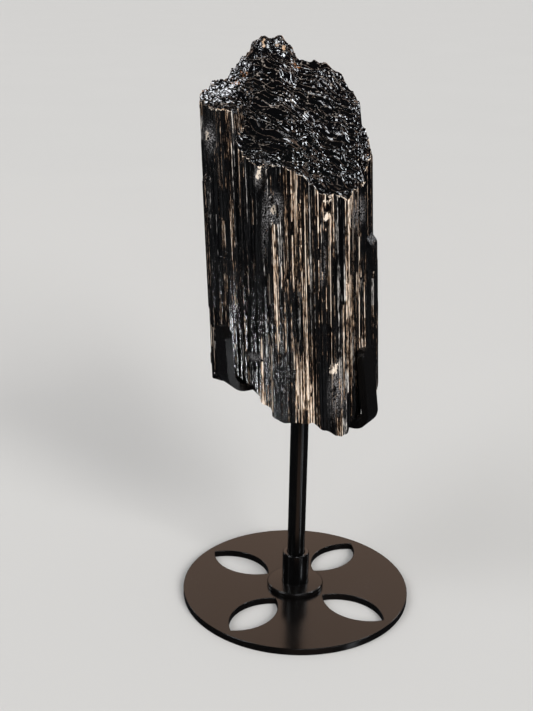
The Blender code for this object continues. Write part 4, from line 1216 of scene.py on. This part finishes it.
class TOURMALINE_OT_studio(bpy.types.Operator):
    """Makes the pale floor, the soft lights and the camera"""

    bl_idname = "tourmaline.studio"
    bl_label = "Studio"

    def execute(self, context):
        studio = context.scene.tourmaline_studio
        scene = context.scene
        bm = bmesh.new()
        bmesh.ops.create_grid(bm, x_segments=1, y_segments=1, size=30.0)
        mesh = bpy.data.meshes.new("studio_floor")
        bm.to_mesh(mesh)
        bm.free()
        mat, tree, shader, place = new_material("studio_floor")
        tint = stretched(tree, place, (3.0, 3.0, 3.0), Detail=2.0).outputs[0]
        base = tuple(studio.floor_colour)
        paler = tuple(min(1.0, value * 1.03) for value in base)
        set_inputs(tree, shader, {"Base Color": mixed(tree, tint, (*base, 1.0), (*paler, 1.0)), "Roughness": 0.9,
                                  "Specular IOR Level": 0.1})
        mesh.materials.append(mat)
        floor = bpy.data.objects.new("studio_floor", mesh)
        scene.collection.objects.link(floor)
        floor.visible_glossy = False
        floor.visible_shadow = False
        for name, energy, angle, azimuth, height, colour in (
            ("key_light", 2.9, 30.0, -58.0, 28.0, (1.0, 0.99, 0.97)),
            ("fill_light", 1.1, 40.0, -150.0, 40.0, (0.97, 0.98, 1.0)),
            ("dome_light", 1.1, 170.0, 0.0, 90.0, (0.98, 0.99, 1.0)),
        ):
            light = bpy.data.lights.new(name, "SUN")
            light.energy = energy
            light.angle = math.radians(angle)
            light.color = colour
            lamp = bpy.data.objects.new(name, light)
            lamp.rotation_euler = (math.radians(90.0 - height), 0.0, math.radians(azimuth + 90.0))
            lamp.visible_glossy = False
            scene.collection.objects.link(lamp)
        target = Vector((0.0, 0.0, 0.16))
        left_prong = Vector((-0.042, -0.03, 0.15))
        for name, brightness, size, place, colour in (
            ("prong_side_light", 0.006, (0.04, 0.08), (0.242, -0.203, 0.036), (0.93, 0.96, 1.0)),
            ("prong_edge_light", 0.6, (0.04, 0.08), (0.063, -0.338, 0.036), (0.93, 0.96, 1.0)),
            ("right_strip", 1.2, (0.03, 0.26), (0.187, -0.275, 0.04), (0.93, 0.96, 1.0)),
            ("left_strip", 0.8, (0.08, 0.50), (-0.36, -0.20, 0.27), (0.95, 0.97, 1.0)),
            ("right_softbox", 20.0, (0.11, 0.11), (0.55, 0.05, 0.70), (0.90, 0.95, 1.0)),
            ("left_softbox", 15.0, (0.10, 0.10), (-0.55, -0.05, 0.75), (0.90, 0.95, 1.0)),
            ("back_softbox", 9.0, (0.60, 0.08), (0.05, 0.65, 0.95), (0.94, 0.97, 1.0)),
            ("left_front_softbox", 9.0, (0.12, 0.12), (-0.46, -0.30, 0.50), (0.95, 0.97, 1.0)),
            ("left_rear_strip", 8.0, (0.22, 0.07), (-0.65, 0.49, 0.50), (0.93, 0.96, 1.0)),
            ("right_rear_strip", 10.0, (0.14, 0.09), (0.48, 0.32, 0.37), (0.93, 0.96, 1.0)),
            ("low_strip", 2.0, (0.035, 0.12), (0.205, -0.172, -0.066), (0.90, 0.94, 1.0)),
            ("low_glow", 0.30, (0.24, 0.10), (0.05, -0.29, -0.09), (1.0, 0.62, 0.42)),
            ("front_softbox", 13.0, (0.30, 0.10), (0.165, -0.615, 0.80), (0.95, 0.97, 1.0)),
            ("warm_card", 0.85, (2.4, 0.9), (0.0, 1.2, 0.80), (1.0, 0.69, 0.52)),
        ):
            light = bpy.data.lights.new(name, "AREA")
            light.shape = "RECTANGLE"
            light.size, light.size_y = size
            light.energy = brightness * math.pi * size[0] * size[1]
            light.color = colour
            lamp = bpy.data.objects.new(name, light)
            lamp.location = place
            lamp.rotation_euler = (target - lamp.location).to_track_quat("-Z", "Y").to_euler()
            if name.startswith("prong"):
                light.spread = math.radians(8.0)
                lamp.rotation_euler = (left_prong - lamp.location).to_track_quat("-Z", "Y").to_euler()
            lamp.visible_diffuse = False
            lamp.visible_camera = False
            scene.collection.objects.link(lamp)
        world = bpy.data.worlds.new("studio_world")
        world.use_nodes = True
        tree = world.node_tree
        seen = node(tree, "ShaderNodeLightPath").outputs["Is Camera Ray"]
        pale = node(tree, "ShaderNodeBackground", {"Color": (1.0, 0.985, 0.97, 1.0), "Strength": 0.66})
        tree.nodes["Background"].inputs["Color"].default_value = (0.85, 0.9, 1.0, 1.0)
        tree.nodes["Background"].inputs["Strength"].default_value = 0.025
        both = node(tree, "ShaderNodeMixShader", {0: seen, 1: tree.nodes["Background"].outputs[0], 2: pale.outputs[0]})
        tree.links.new(both.outputs[0], tree.nodes["World Output"].inputs["Surface"])
        scene.world = world
        data = bpy.data.cameras.new("photo_camera")
        data.sensor_fit = "VERTICAL"
        data.sensor_height = 36.0
        data.sensor_width = 36.0
        data.lens = studio.lens
        camera = bpy.data.objects.new("photo_camera", data)
        camera.matrix_world = (Matrix.Translation((-0.01900118, -0.55480369, 0.3421157))
                               @ Matrix.Rotation(studio.tilt, 4, "X") @ Matrix.Rotation(studio.roll, 4, "Z"))
        scene.collection.objects.link(camera)
        scene.camera = camera
        scene.view_settings.view_transform = "Standard"
        return {"FINISHED"}


class TOURMALINE_PT_panel(bpy.types.Panel):
    """Lists the crystal's and the stand's settings and operators"""

    bl_label = "Tourmaline on Stand"
    bl_idname = "TOURMALINE_PT_panel"
    bl_space_type = "VIEW_3D"
    bl_region_type = "UI"
    bl_category = "Tourmaline"

    def draw(self, context):
        for settings, operators in (
            (context.scene.tourmaline_stand, STAND_OPERATORS),
            (context.scene.tourmaline_crystal, CRYSTAL_OPERATORS),
            (context.scene.tourmaline_studio, STUDIO_OPERATORS),
        ):
            box = self.layout.box()
            for name in settings.bl_rna.properties.keys():
                if name not in ("rna_type", "name"):
                    box.prop(settings, name)
            for operator in operators:
                box.operator(operator.bl_idname)


STAND_OPERATORS = (TOURMALINE_OT_foot_plate, TOURMALINE_OT_rod_fittings, TOURMALINE_OT_hub, TOURMALINE_OT_prongs)
CRYSTAL_OPERATORS = (TOURMALINE_OT_crystal, TOURMALINE_OT_small_crystals, TOURMALINE_OT_splinters)
STUDIO_OPERATORS = (TOURMALINE_OT_studio,)
SETTINGS = (StandSettings, CrystalSettings, StudioSettings)
CLASSES = SETTINGS + STAND_OPERATORS + CRYSTAL_OPERATORS + STUDIO_OPERATORS + (TOURMALINE_PT_panel,)


def register():
    for cls in CLASSES:
        bpy.utils.register_class(cls)
    bpy.types.Scene.tourmaline_stand = bpy.props.PointerProperty(type=StandSettings)
    bpy.types.Scene.tourmaline_crystal = bpy.props.PointerProperty(type=CrystalSettings)
    bpy.types.Scene.tourmaline_studio = bpy.props.PointerProperty(type=StudioSettings)


def unregister():
    del bpy.types.Scene.tourmaline_studio
    del bpy.types.Scene.tourmaline_crystal
    del bpy.types.Scene.tourmaline_stand
    for cls in reversed(CLASSES):
        bpy.utils.unregister_class(cls)


def main():
    register()
    for operators in (STAND_OPERATORS, CRYSTAL_OPERATORS, STUDIO_OPERATORS):
        for operator in operators:
            group_name, name = operator.bl_idname.split(".")
            getattr(getattr(bpy.ops, group_name), name)()


if __name__ == "__main__":
    main()
